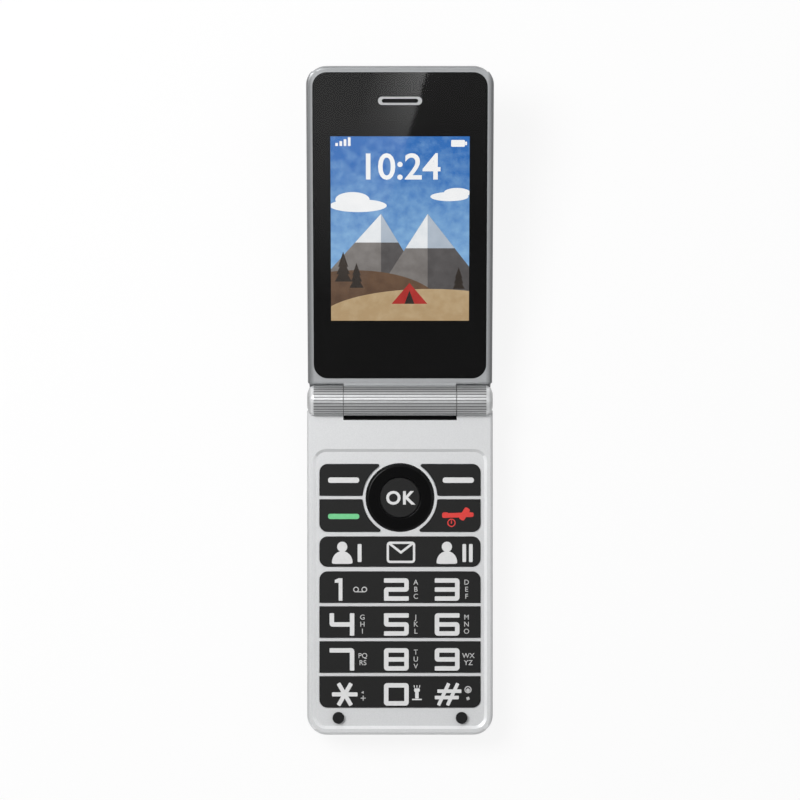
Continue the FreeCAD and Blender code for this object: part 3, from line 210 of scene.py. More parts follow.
# polyester film over the snap domes
domeFilm = surface("clear polyester film", "#c4c7ca", "#d0d3d6", 1.0, {"Roughness": 0.3, "IOR": 1.6})
# acetal
acetal = surface("natural acetal", "#deddd8", "#e5e4df", 1.0, {"Roughness": 0.45, "IOR": 1.48})
# satin plated ring round the earpiece
chromePlate = surface("satin nickel plate", "#d3d4d5", "#dcddde", 1.0,
                      {"Metallic": 0.45, "Roughness": 0.35})
# woven acoustic mesh, drawn as fine black cloth
acousticMesh = surface("acoustic mesh", "#050505", "#101011", 0.15, {"Roughness": 0.9}, 0.05)
# diffuser film
diffuser = surface("diffuser film", "#e4e6e8", "#eceef0", 1.0, {"Roughness": 0.5})
# silicone lens over a yellow phosphor
ledLens = surface("LED phosphor lens", "#ded7a2", "#ebe6bf", 0.8, {"Roughness": 0.25, "IOR": 1.45})
# white ink printed on the keys: flat and even
whiteInk = surface("white pad-print ink", "#d9d9d9", "#dfdfdf", 0.8, {"Roughness": 0.5})
greyInk = surface("pale grey pad-print ink", "#bcbcbc", "#c4c4c4", 0.8, {"Roughness": 0.5})
greenInk = surface("green pad-print ink", "#6cc888", "#76d092", 0.8, {"Roughness": 0.5})
redInk = surface("red pad-print ink", "#d8322c", "#e03b34", 0.8, {"Roughness": 0.5})

slotFinish = {
    "silver_paint": silverLacquer, "rim_paint": rimLacquer, "shell_dark": shellAbs,
    "sleeve_metal": barrelAluminium, "key_black": keyAbs, "nav_black": navPc, "silicone": silicone,
    "bumper_rubber": padRubber, "window_glass": clearAcrylic, "display_glass": windowInk,
    "backlight_white": diffuser, "board_green": boardResist, "dome_film": domeFilm,
    "spring_steel": rolledSteel, "sheet_steel": rolledSteel,
    "contact_gold": goldPlate, "battery_can": cellFilm, "flex_amber": polyimide, "module_black": windowInk,
    "lens_glass": clearAcrylic, "led_lens": ledLens, "bush_white": acetal, "gasket_foam": padRubber,
    "bezel_chrome": chromePlate, "mesh_black": acousticMesh, "magnet_nickel": rolledSteel,
}
slotOf = {s["node"]: s["material_slot"] for s in frame["record"]["subparts"]}
for name, node in nodes.items():
    node.data.materials.clear()
    node.data.materials.append(slotFinish[slotOf[name]])
print("finishes set:", len(slotFinish))


def pick(thing):
    bpy.ops.object.select_all(action="DESELECT")
    thing.select_set(True)
    bpy.context.view_layer.objects.active = thing


def paint(thing, material):
    thing.data.materials.clear()
    thing.data.materials.append(material)


def applyPlace(thing):
    pick(thing)
    bpy.ops.object.transform_apply(location=True, rotation=True, scale=True)


# a point in the lid's own flat frame: x, distance from the hinge, height over the hinge
def onFlatLid(point):
    return lidTurn.inverted() @ (point - hinge)


# low and high corners of a lid node in that frame
def lidBox(name):
    points = [onFlatLid(v.co) for v in nodes[name].data.vertices]
    return [Vector([f(p[i] for p in points) for i in range(3)]) for f in (min, max)]


# a copy of a CAD node as a free object, without the node's own marks
def copyOf(node, name):
    copy = nodes[node].copy()
    copy.data = nodes[node].data.copy()
    bpy.context.collection.objects.link(copy)
    for key in list(copy.keys()):
        del copy[key]
    copy.name = name
    copy.hide_render = False                         # a node that a copy already stands for is hidden
    copy.hide_viewport = False
    copy.hide_set(False)
    return copy


def selectEdges(thing, wanted):
    pick(thing)
    bpy.ops.object.mode_set(mode="EDIT")
    bpy.ops.mesh.select_mode(type="EDGE")
    bpy.ops.mesh.select_all(action="DESELECT")
    bpy.ops.object.mode_set(mode="OBJECT")
    for edge in thing.data.edges:
        ends = [thing.data.vertices[i].co for i in edge.vertices]
        edge.select = wanted((ends[0] + ends[1]) / 2)
    bpy.ops.object.mode_set(mode="EDIT")


# visible CAD pieces get broken edges: a merged copy with a small bevel stands for the node, and the ribbed
# barrels, which have a width of 0, are only shaded smooth
softEdges = {
    "base_front_housing": 0.12, "base_rear_housing": 0.12, "battery_cover": 0.1, "lid_front_frame": 0.17,
    "lid_back_cover": 0.12, "softkey_left": 0.12, "softkey_right": 0.12, "call_key": 0.12, "end_key": 0.12,
    "ok_key": 0.2, "nav_ring": 0.15, "shortcut_row_key": 0.12, "row_123_key": 0.12, "row_456_key": 0.12,
    "row_789_key": 0.12, "row_star_0_hash_key": 0.12, "lid_bumpers": 0.25, "earpiece_bezel": 0.08,
    "display_window": 0.06, "camera_window": 0.1, "hinge_sleeve_left": 0, "hinge_sleeve_right": 0,
    "hinge_sleeve_centre": 0,
}
edgeMake = {"merge": 0.002, "flatAngle": 1, "bevelAngle": 20, "ribAngle": 8, "segments": 2, "weight": 100}
trough = {"half": 15.3, "radius": 5.4, "cap": 22.85, "barrel": 4.15}
recessWall = {"half": 23.6, "near": 1.2, "low": 9.4, "high": 10.39, "tilt": (0.7, 0.95), "facing": -0.3}
farWall = {"start": 70.0, "pull": 0.42, "lean": 0.07, "seat": 2.0, "clear": 0.3,
           "nodes": ("lid_front_frame", "lid_back_cover")}


# height of the lid's rim over the hinge plane, measured far from the knuckle
def rimHeight():
    points = [onFlatLid(v.co) for v in nodes["lid_front_frame"].data.vertices]
    return max(p.z for p in points if p.y > farWall["start"] * mm)


# the moulding's draft: the lid's far wall leans in towards the outer side, so that only the rim shows
# from the front, and its end is pulled in a little
def leanFarWall(thing):
    top = rimHeight() / mm
    end = lidBox("lid_front_frame")[1].y / mm
    glassEnd = lidBox("display_window")[1].y / mm + farWall["clear"]
    for vertex in thing.data.vertices:
        spot = onFlatLid(vertex.co) / mm
        depth = top - spot.z
        share = max(0.0, (spot.y - farWall["start"]) / (end - farWall["start"]))
        if spot.y > glassEnd or depth > farWall["seat"]:      # the window's seat stays square
            spot.y -= share * (farWall["pull"] + farWall["lean"] * depth)
        vertex.co = hinge + lidTurn @ (spot * mm)


for name, width in softEdges.items():
    copy = copyOf(name, "soft_" + name)
    pick(copy)
    bpy.ops.object.mode_set(mode="EDIT")
    bpy.ops.mesh.select_all(action="SELECT")
    bpy.ops.mesh.remove_doubles(threshold=edgeMake["merge"] * mm)
    bpy.ops.mesh.dissolve_limited(angle_limit=math.radians(edgeMake["flatAngle"]))
    bpy.ops.object.mode_set(mode="OBJECT")
    if name in farWall["nodes"]:
        leanFarWall(copy)
    if not width:
        bpy.ops.object.shade_smooth_by_angle(angle=math.radians(edgeMake["ribAngle"]))
    else:
        bpy.ops.object.shade_smooth()
        edge = copy.modifiers.new("brokenEdge", "BEVEL")
        edge.width = width * mm
        edge.segments = edgeMake["segments"]
        edge.limit_method = "ANGLE"
        edge.angle_limit = math.radians(edgeMake["bevelAngle"])
        bpy.ops.object.modifier_apply(modifier=edge.name)
        flats = copy.modifiers.new("flatFaces", "WEIGHTED_NORMAL")   # only the broken edges shade round
        flats.weight = edgeMake["weight"]
        bpy.ops.object.modifier_apply(modifier=flats.name)
    if name == "base_front_housing":
        copy.data.materials.append(troughShadeBlack)        # painted shade: the trough under the barrel is drawn near black
        copy.data.materials.append(capLacquer)       # the domed ends are lacquered to match the barrels
        copy.data.materials.append(highlightWallLacquer)      # painted highlight on the keypad's side and foot walls
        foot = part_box(name)[0][1] / mm + recessWall["near"]
        for face in copy.data.polygons:
            x, y, z = face.center / mm
            # sloping keypad walls, all but the top one, take the painted highlight
            sloping = recessWall["tilt"][0] < face.normal.z < recessWall["tilt"][1]
            inside = abs(x) < recessWall["half"] and y > foot and recessWall["low"] < z < recessWall["high"]
            if sloping and inside and face.normal.y > recessWall["facing"]:
                face.material_index = 3
            reach = face.center - hinge
            away = math.hypot(reach.y, reach.z) / mm
            # faces in the trough take the painted shade
            if abs(reach.x) < trough["half"] * mm and away < trough["radius"]:
                face.material_index = 1
            elif abs(reach.x) > trough["cap"] * mm and away < trough["barrel"]:
                face.material_index = 2
    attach(copy, bodyOf[name])
    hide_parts(name)
print("edges broken:", len(softEdges))


# puts a flat piece drawn at the origin on the base, at x and y, lifted to z
def setOnBase(thing, x, y, z):
    thing.location = (x, y, z)
    applyPlace(thing)


# the same on the lid: distance from the hinge, height over the hinge plane
def setOnLid(thing, x, reach, height):
    thing.rotation_euler = (lidTilt, 0, 0)
    thing.location = hinge + lidTurn @ Vector((x, reach, height))
    applyPlace(thing)


def joinAs(pieces, name):
    bpy.ops.object.select_all(action="DESELECT")
    for piece in pieces:
        piece.select_set(True)
    bpy.context.view_layer.objects.active = pieces[0]
    if len(pieces) > 1:
        bpy.ops.object.join()
    pieces[0].name = name
    return pieces[0]


printStep = 0.003                                    # millimetres between the strokes of a mark


def stacked(pieces, name):
    for index, piece in enumerate(pieces):
        piece.location.z += index * printStep * mm
        applyPlace(piece)
    return joinAs(pieces, name)


# rounded bar lying in the XY plane
def barMark(width, height, corner, segments=5):
    bpy.ops.object.select_all(action="DESELECT")
    bpy.ops.mesh.primitive_plane_add(size=1)
    mark = bpy.context.object
    mark.scale = (width * mm, height * mm, 1)
    applyPlace(mark)
    bpy.ops.object.mode_set(mode="EDIT")
    bpy.ops.mesh.select_all(action="SELECT")
    bpy.ops.mesh.bevel(offset=corner * mm, segments=segments, affect="VERTICES")
    bpy.ops.object.mode_set(mode="OBJECT")
    return mark


def discMark(radius, sides=40):
    bpy.ops.object.select_all(action="DESELECT")
    bpy.ops.mesh.primitive_circle_add(vertices=sides, radius=radius * mm, fill_type="NGON")
    return bpy.context.object


def ringMark(radius, width, sides=40):
    mark = discMark(radius, sides)
    bpy.ops.object.mode_set(mode="EDIT")
    bpy.ops.mesh.select_all(action="SELECT")
    bpy.ops.mesh.inset(thickness=width * mm)
    bpy.ops.mesh.delete(type="FACE")
    bpy.ops.object.mode_set(mode="OBJECT")
    return mark


def textMark(words, height, heavier=0.0, spacing=1.0, apart=1.0):
    bpy.ops.object.select_all(action="DESELECT")
    bpy.ops.object.text_add()
    mark = bpy.context.object
    mark.data.body = words
    mark.data.align_x = "CENTER"
    mark.data.align_y = "CENTER"
    mark.data.size = height * mm / 0.72          # capitals are about 0.72 of the font size
    mark.data.offset = heavier * mm
    mark.data.space_line = spacing
    mark.data.space_character = apart
    mark.data.resolution_u = 4
    pick(mark)
    bpy.ops.object.convert(target="MESH")
    return bpy.context.object


# squared numerals drawn as one stroke on a grid: x 0 to 1, y 0 to 1, with extra strokes where they branch
numeralStroke = {"height": 6.0, "width": 6.6, "stroke": 1.2, "corner": 0.85, "tip": 0.22,
                 "oneAt": -0.33, "oneWidth": 0.84, "oneFlag": 0.45}
numeralPaths = {
    "1": [[(0.0, 1), (0.225, 1), (0.225, 0)]],
    "2": [[(0, 1), (1, 1), (1, 0.5), (0, 0.5), (0, 0), (1, 0)]],
    "3": [[(0, 1), (1, 1), (1, 0.5), (1, 0), (0, 0)], [(1, 0.5), (0, 0.5)]],
    "4": [[(0, 1), (0, 0.5), (1, 0.5), (1, 1)], [(1, 0.5), (1, 0)]],
    "5": [[(1, 1), (0, 1), (0, 0.5), (1, 0.5), (1, 0), (0, 0)]],
    "6": [[(1, 1), (0, 1), (0, 0.5), (0, 0), (1, 0), (1, 0.5)], [(1, 0.5), (0, 0.5)]],
    "7": [[(0, 1), (1, 1), (1, 0)]],
    "8": [[(0, 0.5), (0, 1), (1, 1), (1, 0.5), (1, 0), (0, 0)], [(0, 0), (0, 0.5)], [(0, 0.5), (1, 0.5)]],
    "9": [[(1, 0.5), (1, 1), (0, 1), (0, 0.5)], [(0, 0.5), (1, 0.5)], [(1, 0.5), (1, 0), (0, 0)]],
    "0": [[(0, 0), (0, 1), (1, 1), (1, 0)], [(1, 0), (0, 0)]],
}
numeralSharp = {"2": [(0, 0)], "5": [(0, 1)], "1": [(0.225, 1)]}


def roundCorners(thing, spots, size):
    pick(thing)
    bpy.ops.object.mode_set(mode="EDIT")
    bpy.ops.mesh.select_mode(type="VERT")
    bpy.ops.mesh.select_all(action="DESELECT")
    bpy.ops.object.mode_set(mode="OBJECT")
    for vertex in thing.data.vertices:
        vertex.select = any((vertex.co - spot).length < 0.01 * mm for spot in spots)
    bpy.ops.object.mode_set(mode="EDIT")
    bpy.ops.mesh.bevel(offset=size * mm, segments=4, affect="VERTICES")
    bpy.ops.object.mode_set(mode="OBJECT")


# pulls the end of the stroke from one grid point to the next and leaves a square at each corner
def numeralMark(sign):
    wide = (numeralStroke["width"] - numeralStroke["stroke"]) * mm
    tall = (numeralStroke["height"] - numeralStroke["stroke"]) * mm
    half = numeralStroke["stroke"] * mm / 2

    def spot(point):
        return Vector(((point[0] - 0.5) * wide, (point[1] - 0.5) * tall, 0))

    first = numeralPaths[sign][0][0]
    bpy.ops.object.select_all(action="DESELECT")
    bpy.ops.mesh.primitive_plane_add(size=2 * half, location=spot(first))
    mark = bpy.context.object
    applyPlace(mark)
    squares = [first]
    for path in numeralPaths[sign]:
        for start, stop in zip(path, path[1:]):
            run = spot(stop) - spot(start)
            way = run.normalized()
            front = spot(start) + way * half
            selectEdges(mark, lambda middle: (middle - front).length < half * 0.2)
            bpy.ops.mesh.extrude_edges_move(TRANSFORM_OT_translate={"value": run - way * 2 * half})
            if stop not in squares:
                bpy.ops.mesh.extrude_edges_move(TRANSFORM_OT_translate={"value": way * 2 * half})
                squares.append(stop)
            bpy.ops.object.mode_set(mode="OBJECT")
    bpy.ops.object.mode_set(mode="EDIT")
    bpy.ops.mesh.select_all(action="SELECT")
    bpy.ops.mesh.remove_doubles(threshold=0.01 * mm)
    bpy.ops.mesh.normals_make_consistent(inside=False)
    bpy.ops.object.mode_set(mode="OBJECT")
    mesh = mark.data
    uses = [sum(v.index in f.vertices for f in mesh.polygons) for v in mesh.vertices]
    tips, corners = [], []
    for vertex in mesh.vertices:
        if uses[vertex.index] == 1:                  # belongs to one square only: a corner or a loose end
            touching = [e.vertices for e in mesh.edges if vertex.index in e.vertices]
            mates = [i for ends in touching for i in ends if i != vertex.index]
            sharp = any((vertex.co - spot(p)).length < 2 * half for p in numeralSharp.get(sign, []))
            tip = sharp or any(uses[i] == 1 for i in mates)
            (tips if tip else corners).append(vertex.co.copy())
    if sign == "1":                                  # the flag slopes down to the left
        flag = min(mesh.vertices, key=lambda v: v.co.x - v.co.y)
        flag.co.y -= numeralStroke["oneFlag"] * mm
        for vertex in mesh.vertices:                 # and the whole figure is drawn narrower
            vertex.co.x = numeralStroke["oneAt"] * mm + vertex.co.x * numeralStroke["oneWidth"]
        tips = [t for t in tips if t.x > flag.co.x + half or t.y < 0]
    if corners:
        roundCorners(mark, corners, numeralStroke["corner"])
    if tips:
        roundCorners(mark, tips, numeralStroke["tip"])
    return mark


# thin stroke between two points, in millimetres
def lineMark(a, b, width):
    run = Vector((b[0] - a[0], b[1] - a[1]))
    mark = barMark(run.length + width, width, width * 0.3)
    mark.rotation_euler = (0, 0, math.atan2(run.y, run.x))
    mark.location = ((a[0] + b[0]) / 2 * mm, (a[1] + b[1]) / 2 * mm, 0)
    applyPlace(mark)
    return mark


def shifted(mark, x, y, turn=0.0):
    mark.rotation_euler = (0, 0, turn)
    mark.location = (x * mm, y * mm, 0)
    applyPlace(mark)
    return mark


# icons, each drawn round its own middle
def personMark():
    head = shifted(discMark(1.36), 0, 1.72)
    body = discMark(1, 48)
    body.scale = (2.75, 3.0, 1)
    body.location = (0, -2.45 * mm, 0)
    applyPlace(body)
    bpy.ops.object.mode_set(mode="EDIT")
    bpy.ops.mesh.select_all(action="SELECT")
    bpy.ops.mesh.bisect(plane_co=(0, -2.8 * mm, 0), plane_no=(0, -1, 0), clear_outer=True)
    bpy.ops.object.mode_set(mode="OBJECT")
    low = min(v.co.y for v in body.data.vertices)
    feet = [v.co.copy() for v in body.data.vertices if v.co.y < low + 0.01 * mm]
    roundCorners(body, feet, 1.0)
    return stacked([head, body], "person")


def envelopeMark():
    size = {"width": 7.6, "height": 5.7, "line": 0.62, "flap": 3.0, "corner": 0.9}
    sheet = barMark(size["width"], size["height"], size["corner"])
    bpy.ops.object.mode_set(mode="EDIT")
    bpy.ops.mesh.select_all(action="SELECT")
    bpy.ops.mesh.inset(thickness=size["line"] * mm)
    bpy.ops.mesh.delete(type="FACE")
    bpy.ops.object.mode_set(mode="OBJECT")
    x, y = size["width"] / 2 - 0.7, size["height"] / 2 - 0.5
    folds = [lineMark((s * x, y), (0, y - size["flap"] + size["line"]), size["line"]) for s in (-1, 1)]
    return stacked([sheet] + folds, "envelope")


def handsetMark():
    bar = shifted(barMark(8.4, 1.25, 0.5), 0, 0, math.radians(2))
    rest = shifted(barMark(1.6, 3.6, 0.55), 1.75, 0.3, math.radians(-32))
    knob = shifted(barMark(1.8, 1.5, 0.6), -3.3, 0.0)
    return stacked([bar, rest, knob], "handset")


def powerMark():
    ring = ringMark(1.1, 0.28)
    stem = shifted(barMark(0.28, 0.9, 0.1), 0, 0.2)
    return stacked([ring, stem], "power")


def voicemailMark():
    loops = [shifted(ringMark(0.75, 0.25), x, 0) for x in (-1.1, 1.1)]
    return stacked(loops + [shifted(barMark(2.4, 0.25, 0.1), 0, -0.62)], "voicemail")


def starMark():
    arms = [shifted(barMark(6.8, 1.1, 0.25), 0, 0, math.radians(a)) for a in (0, 60, 120)]
    return stacked(arms, "star")


def hashMark():
    bars = [shifted(barMark(6.4, 0.95, 0.2), y * 0.4, y) for y in (-0.85, 0.85)]
    bars += [shifted(barMark(6.5, 0.95, 0.2), x, 0, math.radians(65)) for x in (-1.2, 1.2)]
    return stacked(bars, "hash")


def torchMark():
    head = shifted(barMark(1.5, 0.9, 0.2), 0, 0.75)
    grip = shifted(barMark(0.95, 2.0, 0.2), 0, -0.5)
    foot = shifted(barMark(2.6, 0.35, 0.1), 0, -1.75)
    rays = [shifted(barMark(0.22, 0.7, 0.1), x, 1.7, -x * 0.2) for x in (-0.7, 0, 0.7)]
    return stacked([head, grip, foot] + rays, "torch")


def bellMark():
    dome = shifted(ringMark(0.95, 0.28), 0, 0.75)
    heart = shifted(discMark(0.5, 24), 0, 0.6)
    clapper = shifted(barMark(0.8, 0.8, 0.15), 0, -1.6, math.radians(20))
    return stacked([dome, heart, clapper], "bell")


# legends of each key: a mark, its x from the middle of the phone and y from the key's middle, and its ink
legendLift = 0.012                                   # thickness of the print over the key, in millimetres
letterSize = {"height": 1.35, "spacing": 1.0, "heavier": 0.01}


def letters(words):
    return textMark(words, letterSize["height"], letterSize["heavier"], letterSize["spacing"])


columns = {"left": -15.45, "middle": -0.97, "right": 12.54, "drop": -0.6}
legends = {
    "softkey_left": [(barMark(8.3, 1.45, 0.65), -15.0, -0.05, whiteInk)],
    "softkey_right": [(barMark(8.3, 1.45, 0.65), 15.5, -0.05, whiteInk)],
    "call_key": [(barMark(8.3, 1.4, 0.6), -15.0, -0.2, greenInk)],
    "end_key": [(handsetMark(), 15.4, 0.15, redInk), (powerMark(), 13.7, -1.9, redInk)],
    "ok_key": [(textMark("OK", 3.5, 0.14, 1.0, 1.14), 0, -0.25, whiteInk)],
    "shortcut_row_key": [(personMark(), -15.37, -0.4, whiteInk),
                         (barMark(1.05, 4.8, 0.25), -10.75, -0.35, whiteInk),
                         (envelopeMark(), 0.25, -0.15, whiteInk), (personMark(), 12.48, -0.4, whiteInk),
                         (barMark(0.98, 4.8, 0.25), 17.1, -0.35, whiteInk),
                         (barMark(0.98, 4.8, 0.25), 18.85, -0.35, whiteInk)],
    "row_123_key": [(numeralMark("1"), -14.25, columns["drop"], whiteInk),
                    (voicemailMark(), -10.6, -0.6, greyInk),
                    (numeralMark("2"), columns["middle"], columns["drop"], whiteInk),
                    (letters("A\nB\nC"), 4.2, columns["drop"], greyInk),
                    (numeralMark("3"), columns["right"], columns["drop"], whiteInk),
                    (letters("D\nE\nF"), 17.7, columns["drop"], greyInk)],
    "row_456_key": [(numeralMark("4"), columns["left"], columns["drop"], whiteInk),
                    (letters("G\nH\nI"), -10.0, columns["drop"], greyInk),
                    (numeralMark("5"), columns["middle"], columns["drop"], whiteInk),
                    (letters("J\nK\nL"), 4.2, columns["drop"], greyInk),
                    (numeralMark("6"), columns["right"], columns["drop"], whiteInk),
                    (letters("M\nN\nO"), 17.7, columns["drop"], greyInk)],
    "row_789_key": [(numeralMark("7"), columns["left"], columns["drop"], whiteInk),
                    (letters("PQ\nRS"), -9.9, columns["drop"], greyInk),
                    (numeralMark("8"), columns["middle"], columns["drop"], whiteInk),
                    (letters("T\nU\nV"), 4.2, columns["drop"], greyInk),
                    (numeralMark("9"), columns["right"], columns["drop"], whiteInk),
                    (letters("WX\nYZ"), 18.2, columns["drop"], greyInk)],
    "row_star_0_hash_key": [(starMark(), -14.7, columns["drop"], whiteInk),
                            (shifted(discMark(0.42, 3), 0, 0, math.radians(90)), -9.9, -0.1, greyInk),
                            (textMark("+", 2.0), -9.8, -1.75, greyInk),
                            (numeralMark("0"), columns["middle"], columns["drop"], whiteInk),
                            (torchMark(), 4.5, -0.2, whiteInk),
                            (hashMark(), 12.8, columns["drop"], whiteInk),
                            (bellMark(), 18.1, -0.1, greyInk)],
}
for key, marks in legends.items():
    low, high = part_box(key)
    middle = (low[1] + high[1]) / 2
    printed = []
    for mark, x, y, ink in marks:
        paint(mark, ink)
        setOnBase(mark, x * mm, middle + y * mm, high[2] + legendLift * mm)
        printed.append(mark)
    legend = joinAs(printed, "legend_" + key)
    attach(legend, bodyOf[key])
print("legends printed:", len(legends))

# thin lip of the rim round the window, with round corners
rimLip = {"width": 0.6, "corner": 3.8, "over": 0.05, "far": 0.07, "lift": 0.01, "thick": 0.14,
          "segments": 12}
glassLow, glassHigh = [corner / mm for corner in lidBox("display_window")]
outside = 2 * (rimLip["width"] - rimLip["over"])
lip = barMark(glassHigh.x - glassLow.x + outside, glassHigh.y - glassLow.y + outside + rimLip["far"],
              rimLip["corner"] + rimLip["width"], rimLip["segments"])
bpy.ops.object.mode_set(mode="EDIT")
bpy.ops.mesh.select_all(action="SELECT")
bpy.ops.mesh.inset(thickness=rimLip["width"] * mm)
bpy.ops.mesh.delete(type="FACE")
bpy.ops.object.mode_set(mode="OBJECT")
wall = lip.modifiers.new("lipDepth", "SOLIDIFY")
wall.thickness = rimLip["thick"] * mm
wall.offset = -1
bpy.ops.object.modifier_apply(modifier=wall.name)
lip.name = "rim_lip"
paint(lip, rimLacquer)
setOnLid(lip, 0, (glassLow.y + glassHigh.y + rimLip["far"]) / 2 * mm, rimHeight() + rimLip["lift"] * mm)
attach(lip, "lid")
print("rim lip set")

# black print on the back of the window, open over the lit screen
screen = {"half": 18.25, "start": 21.35, "stop": 70.45, "inkLift": 0.03, "glowLift": 0.02}
panelTop = lidBox("display_panel")[1].z

# the print is the window's own back face, cut open over the screen and lifted into the clear sheet
lidNormal = lidTurn @ Vector((0, 0, 1))
border = copyOf("display_window", "window_print")
pick(border)
bpy.ops.object.mode_set(mode="EDIT")
bpy.ops.mesh.select_all(action="SELECT")
bpy.ops.mesh.remove_doubles(threshold=edgeMake["merge"] * mm)
bpy.ops.mesh.select_mode(type="FACE")
bpy.ops.mesh.select_all(action="DESELECT")
bpy.ops.object.mode_set(mode="OBJECT")
for face in border.data.polygons:
    face.select = face.normal.dot(lidNormal) > -0.9
bpy.ops.object.mode_set(mode="EDIT")
bpy.ops.mesh.delete(type="FACE")
for at, way in (((-screen["half"], 0, 0), (1, 0, 0)), ((screen["half"], 0, 0), (1, 0, 0)),
                ((0, screen["start"], 0), (0, 1, 0)), ((0, screen["stop"], 0), (0, 1, 0))):
    bpy.ops.mesh.select_all(action="SELECT")
    bpy.ops.mesh.bisect(plane_co=hinge + lidTurn @ (Vector(at) * mm), plane_no=lidTurn @ Vector(way))
bpy.ops.mesh.select_all(action="DESELECT")
bpy.ops.object.mode_set(mode="OBJECT")
for face in border.data.polygons:
    flat = onFlatLid(face.center) / mm
    face.select = abs(flat.x) < screen["half"] and screen["start"] < flat.y < screen["stop"]
bpy.ops.object.mode_set(mode="EDIT")
bpy.ops.mesh.delete(type="FACE")
bpy.ops.mesh.select_all(action="SELECT")
bpy.ops.mesh.flip_normals()
bpy.ops.transform.translate(value=lidNormal * screen["inkLift"] * mm)
bpy.ops.object.mode_set(mode="OBJECT")
paint(border, windowInk)
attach(border, "lid")
print("window printed")


glowMottle = {"patch": 2.5, "detail": 6.0, "sway": 0.45}


# lit screen: colours glow, with a soft change from one end to the other and cloudy patches 2.5 mm wide
def glow(name, low, high, strength):
    material = bpy.data.materials.new(name)
    material.use_nodes = True
    tree = material.node_tree
    tree.nodes.clear()
    place = addNode(tree, "ShaderNodeTexCoord")
    apart = addNode(tree, "ShaderNodeSeparateXYZ", {}, {"Vector": place.outputs["Object"]})
    start = hinge.y + screen["start"] * mm * math.cos(lidTilt)
    stop = hinge.y + screen["stop"] * mm * math.cos(lidTilt)
    share = addNode(tree, "ShaderNodeMapRange", {"From Min": start, "From Max": stop},
                    {"Value": apart.outputs["Y"]})
    noise = addNode(tree, "ShaderNodeTexNoise",
                    {"Scale": 1 / (glowMottle["patch"] * mm), "Detail": glowMottle["detail"]},
                    {"Vector": place.outputs["Object"]})
    sway = glowMottle["sway"]
    wander = addNode(tree, "ShaderNodeMapRange", {"To Min": -sway, "To Max": sway},
                     {"Value": noise.outputs["Fac"]})
    total = addNode(tree, "ShaderNodeMath", {"operation": "ADD"},
                    {0: share.outputs["Result"], 1: wander.outputs["Result"]})
    ramp = addNode(tree, "ShaderNodeValToRGB", {}, {"Fac": total.outputs[0]})
    ramp.color_ramp.elements[0].color = linear(low)
    ramp.color_ramp.elements[1].color = linear(high)
    shine = addNode(tree, "ShaderNodeEmission", {"Strength": strength}, {"Color": ramp.outputs["Color"]})
    addNode(tree, "ShaderNodeOutputMaterial", {}, {"Surface": shine.outputs["Emission"]})
    return material


# plain wallpaper: mountains under a blue sky, with a tent, a clock and two status signs
wallpaper = {
    "sky": ("#9fcdf0", "#2b6fbd"), "cloud": ("#f4f7fa", "#ffffff"), "snow": ("#dfe6ec", "#ffffff"),
    "rock": ("#6f6a67", "#9a9693"), "shade": ("#4d4a4a", "#6d6a6a"), "hill": ("#5b4434", "#86684f"),
    "meadow": ("#b79b73", "#dcc8a4"), "pine": ("#2b241f", "#43382f"), "tent": ("#a92a26", "#cf443c"),
    "snowShade": ("#a9b6c4", "#c2ccd8"), "strength": 0.95, "layer": 0.01,
    "clouds": ((15, 3.4, -11, 6.2), (9, 4.0, -12.5, 7.8), (10, 2.4, 13, 8.6), (7, 2.6, 15, 9.6)),
    "mountains": ((30, 20, -8, -6, 0.1), (34, 24, 9, -8, -0.05)), "cap": 0.38,
    "pines": ((-15, -12, 9), (-11.5, -14, 7.5), (15.5, -14.5, 6.5)), "tiers": 3,
}
screenMiddle = (screen["start"] + screen["stop"]) / 2
screenTall = screen["stop"] - screen["start"]
screenLayers = []


# each piece lies a hair above the one before it, cut off at the screen's edges
def screenPiece(thing, name, x, y, colours):
    thing.name = name
    paint(thing, glow("screen " + name, *wallpaper[colours], wallpaper["strength"]))
    pick(thing)
    bpy.ops.object.mode_set(mode="EDIT")
    for at, way in (((-screen["half"] - x, 0), (-1, 0, 0)), ((screen["half"] - x, 0), (1, 0, 0)),
                    ((0, -screenTall / 2 - y), (0, -1, 0)), ((0, screenTall / 2 - y), (0, 1, 0))):
        bpy.ops.mesh.select_all(action="SELECT")
        bpy.ops.mesh.bisect(plane_co=(at[0] * mm, at[1] * mm, 0), plane_no=way, clear_outer=True)
    bpy.ops.object.mode_set(mode="OBJECT")
    lift = screen["glowLift"] + len(screenLayers) * wallpaper["layer"]
    setOnLid(thing, x * mm, (screenMiddle + y) * mm, panelTop + lift * mm)
    screenLayers.append(thing)


def ellipseMark(width, height):
    mark = discMark(1, 64)
    mark.scale = (width / 2, height / 2, 1)
    applyPlace(mark)
    return mark


# triangle standing on its base: the tip's place across the width is a share from -0.5 to 0.5
def peakMark(width, height, tip=0.0):
    mark = barMark(width, height, 0.001)
    bpy.ops.object.mode_set(mode="EDIT")
    bpy.ops.mesh.select_all(action="SELECT")
    bpy.ops.mesh.remove_doubles(threshold=0.02 * mm)
    bpy.ops.object.mode_set(mode="OBJECT")
    for vertex in mark.data.vertices:
        if vertex.co.y > 0:
            vertex.co.x = tip * width * mm + vertex.co.x * 0.002
    return mark


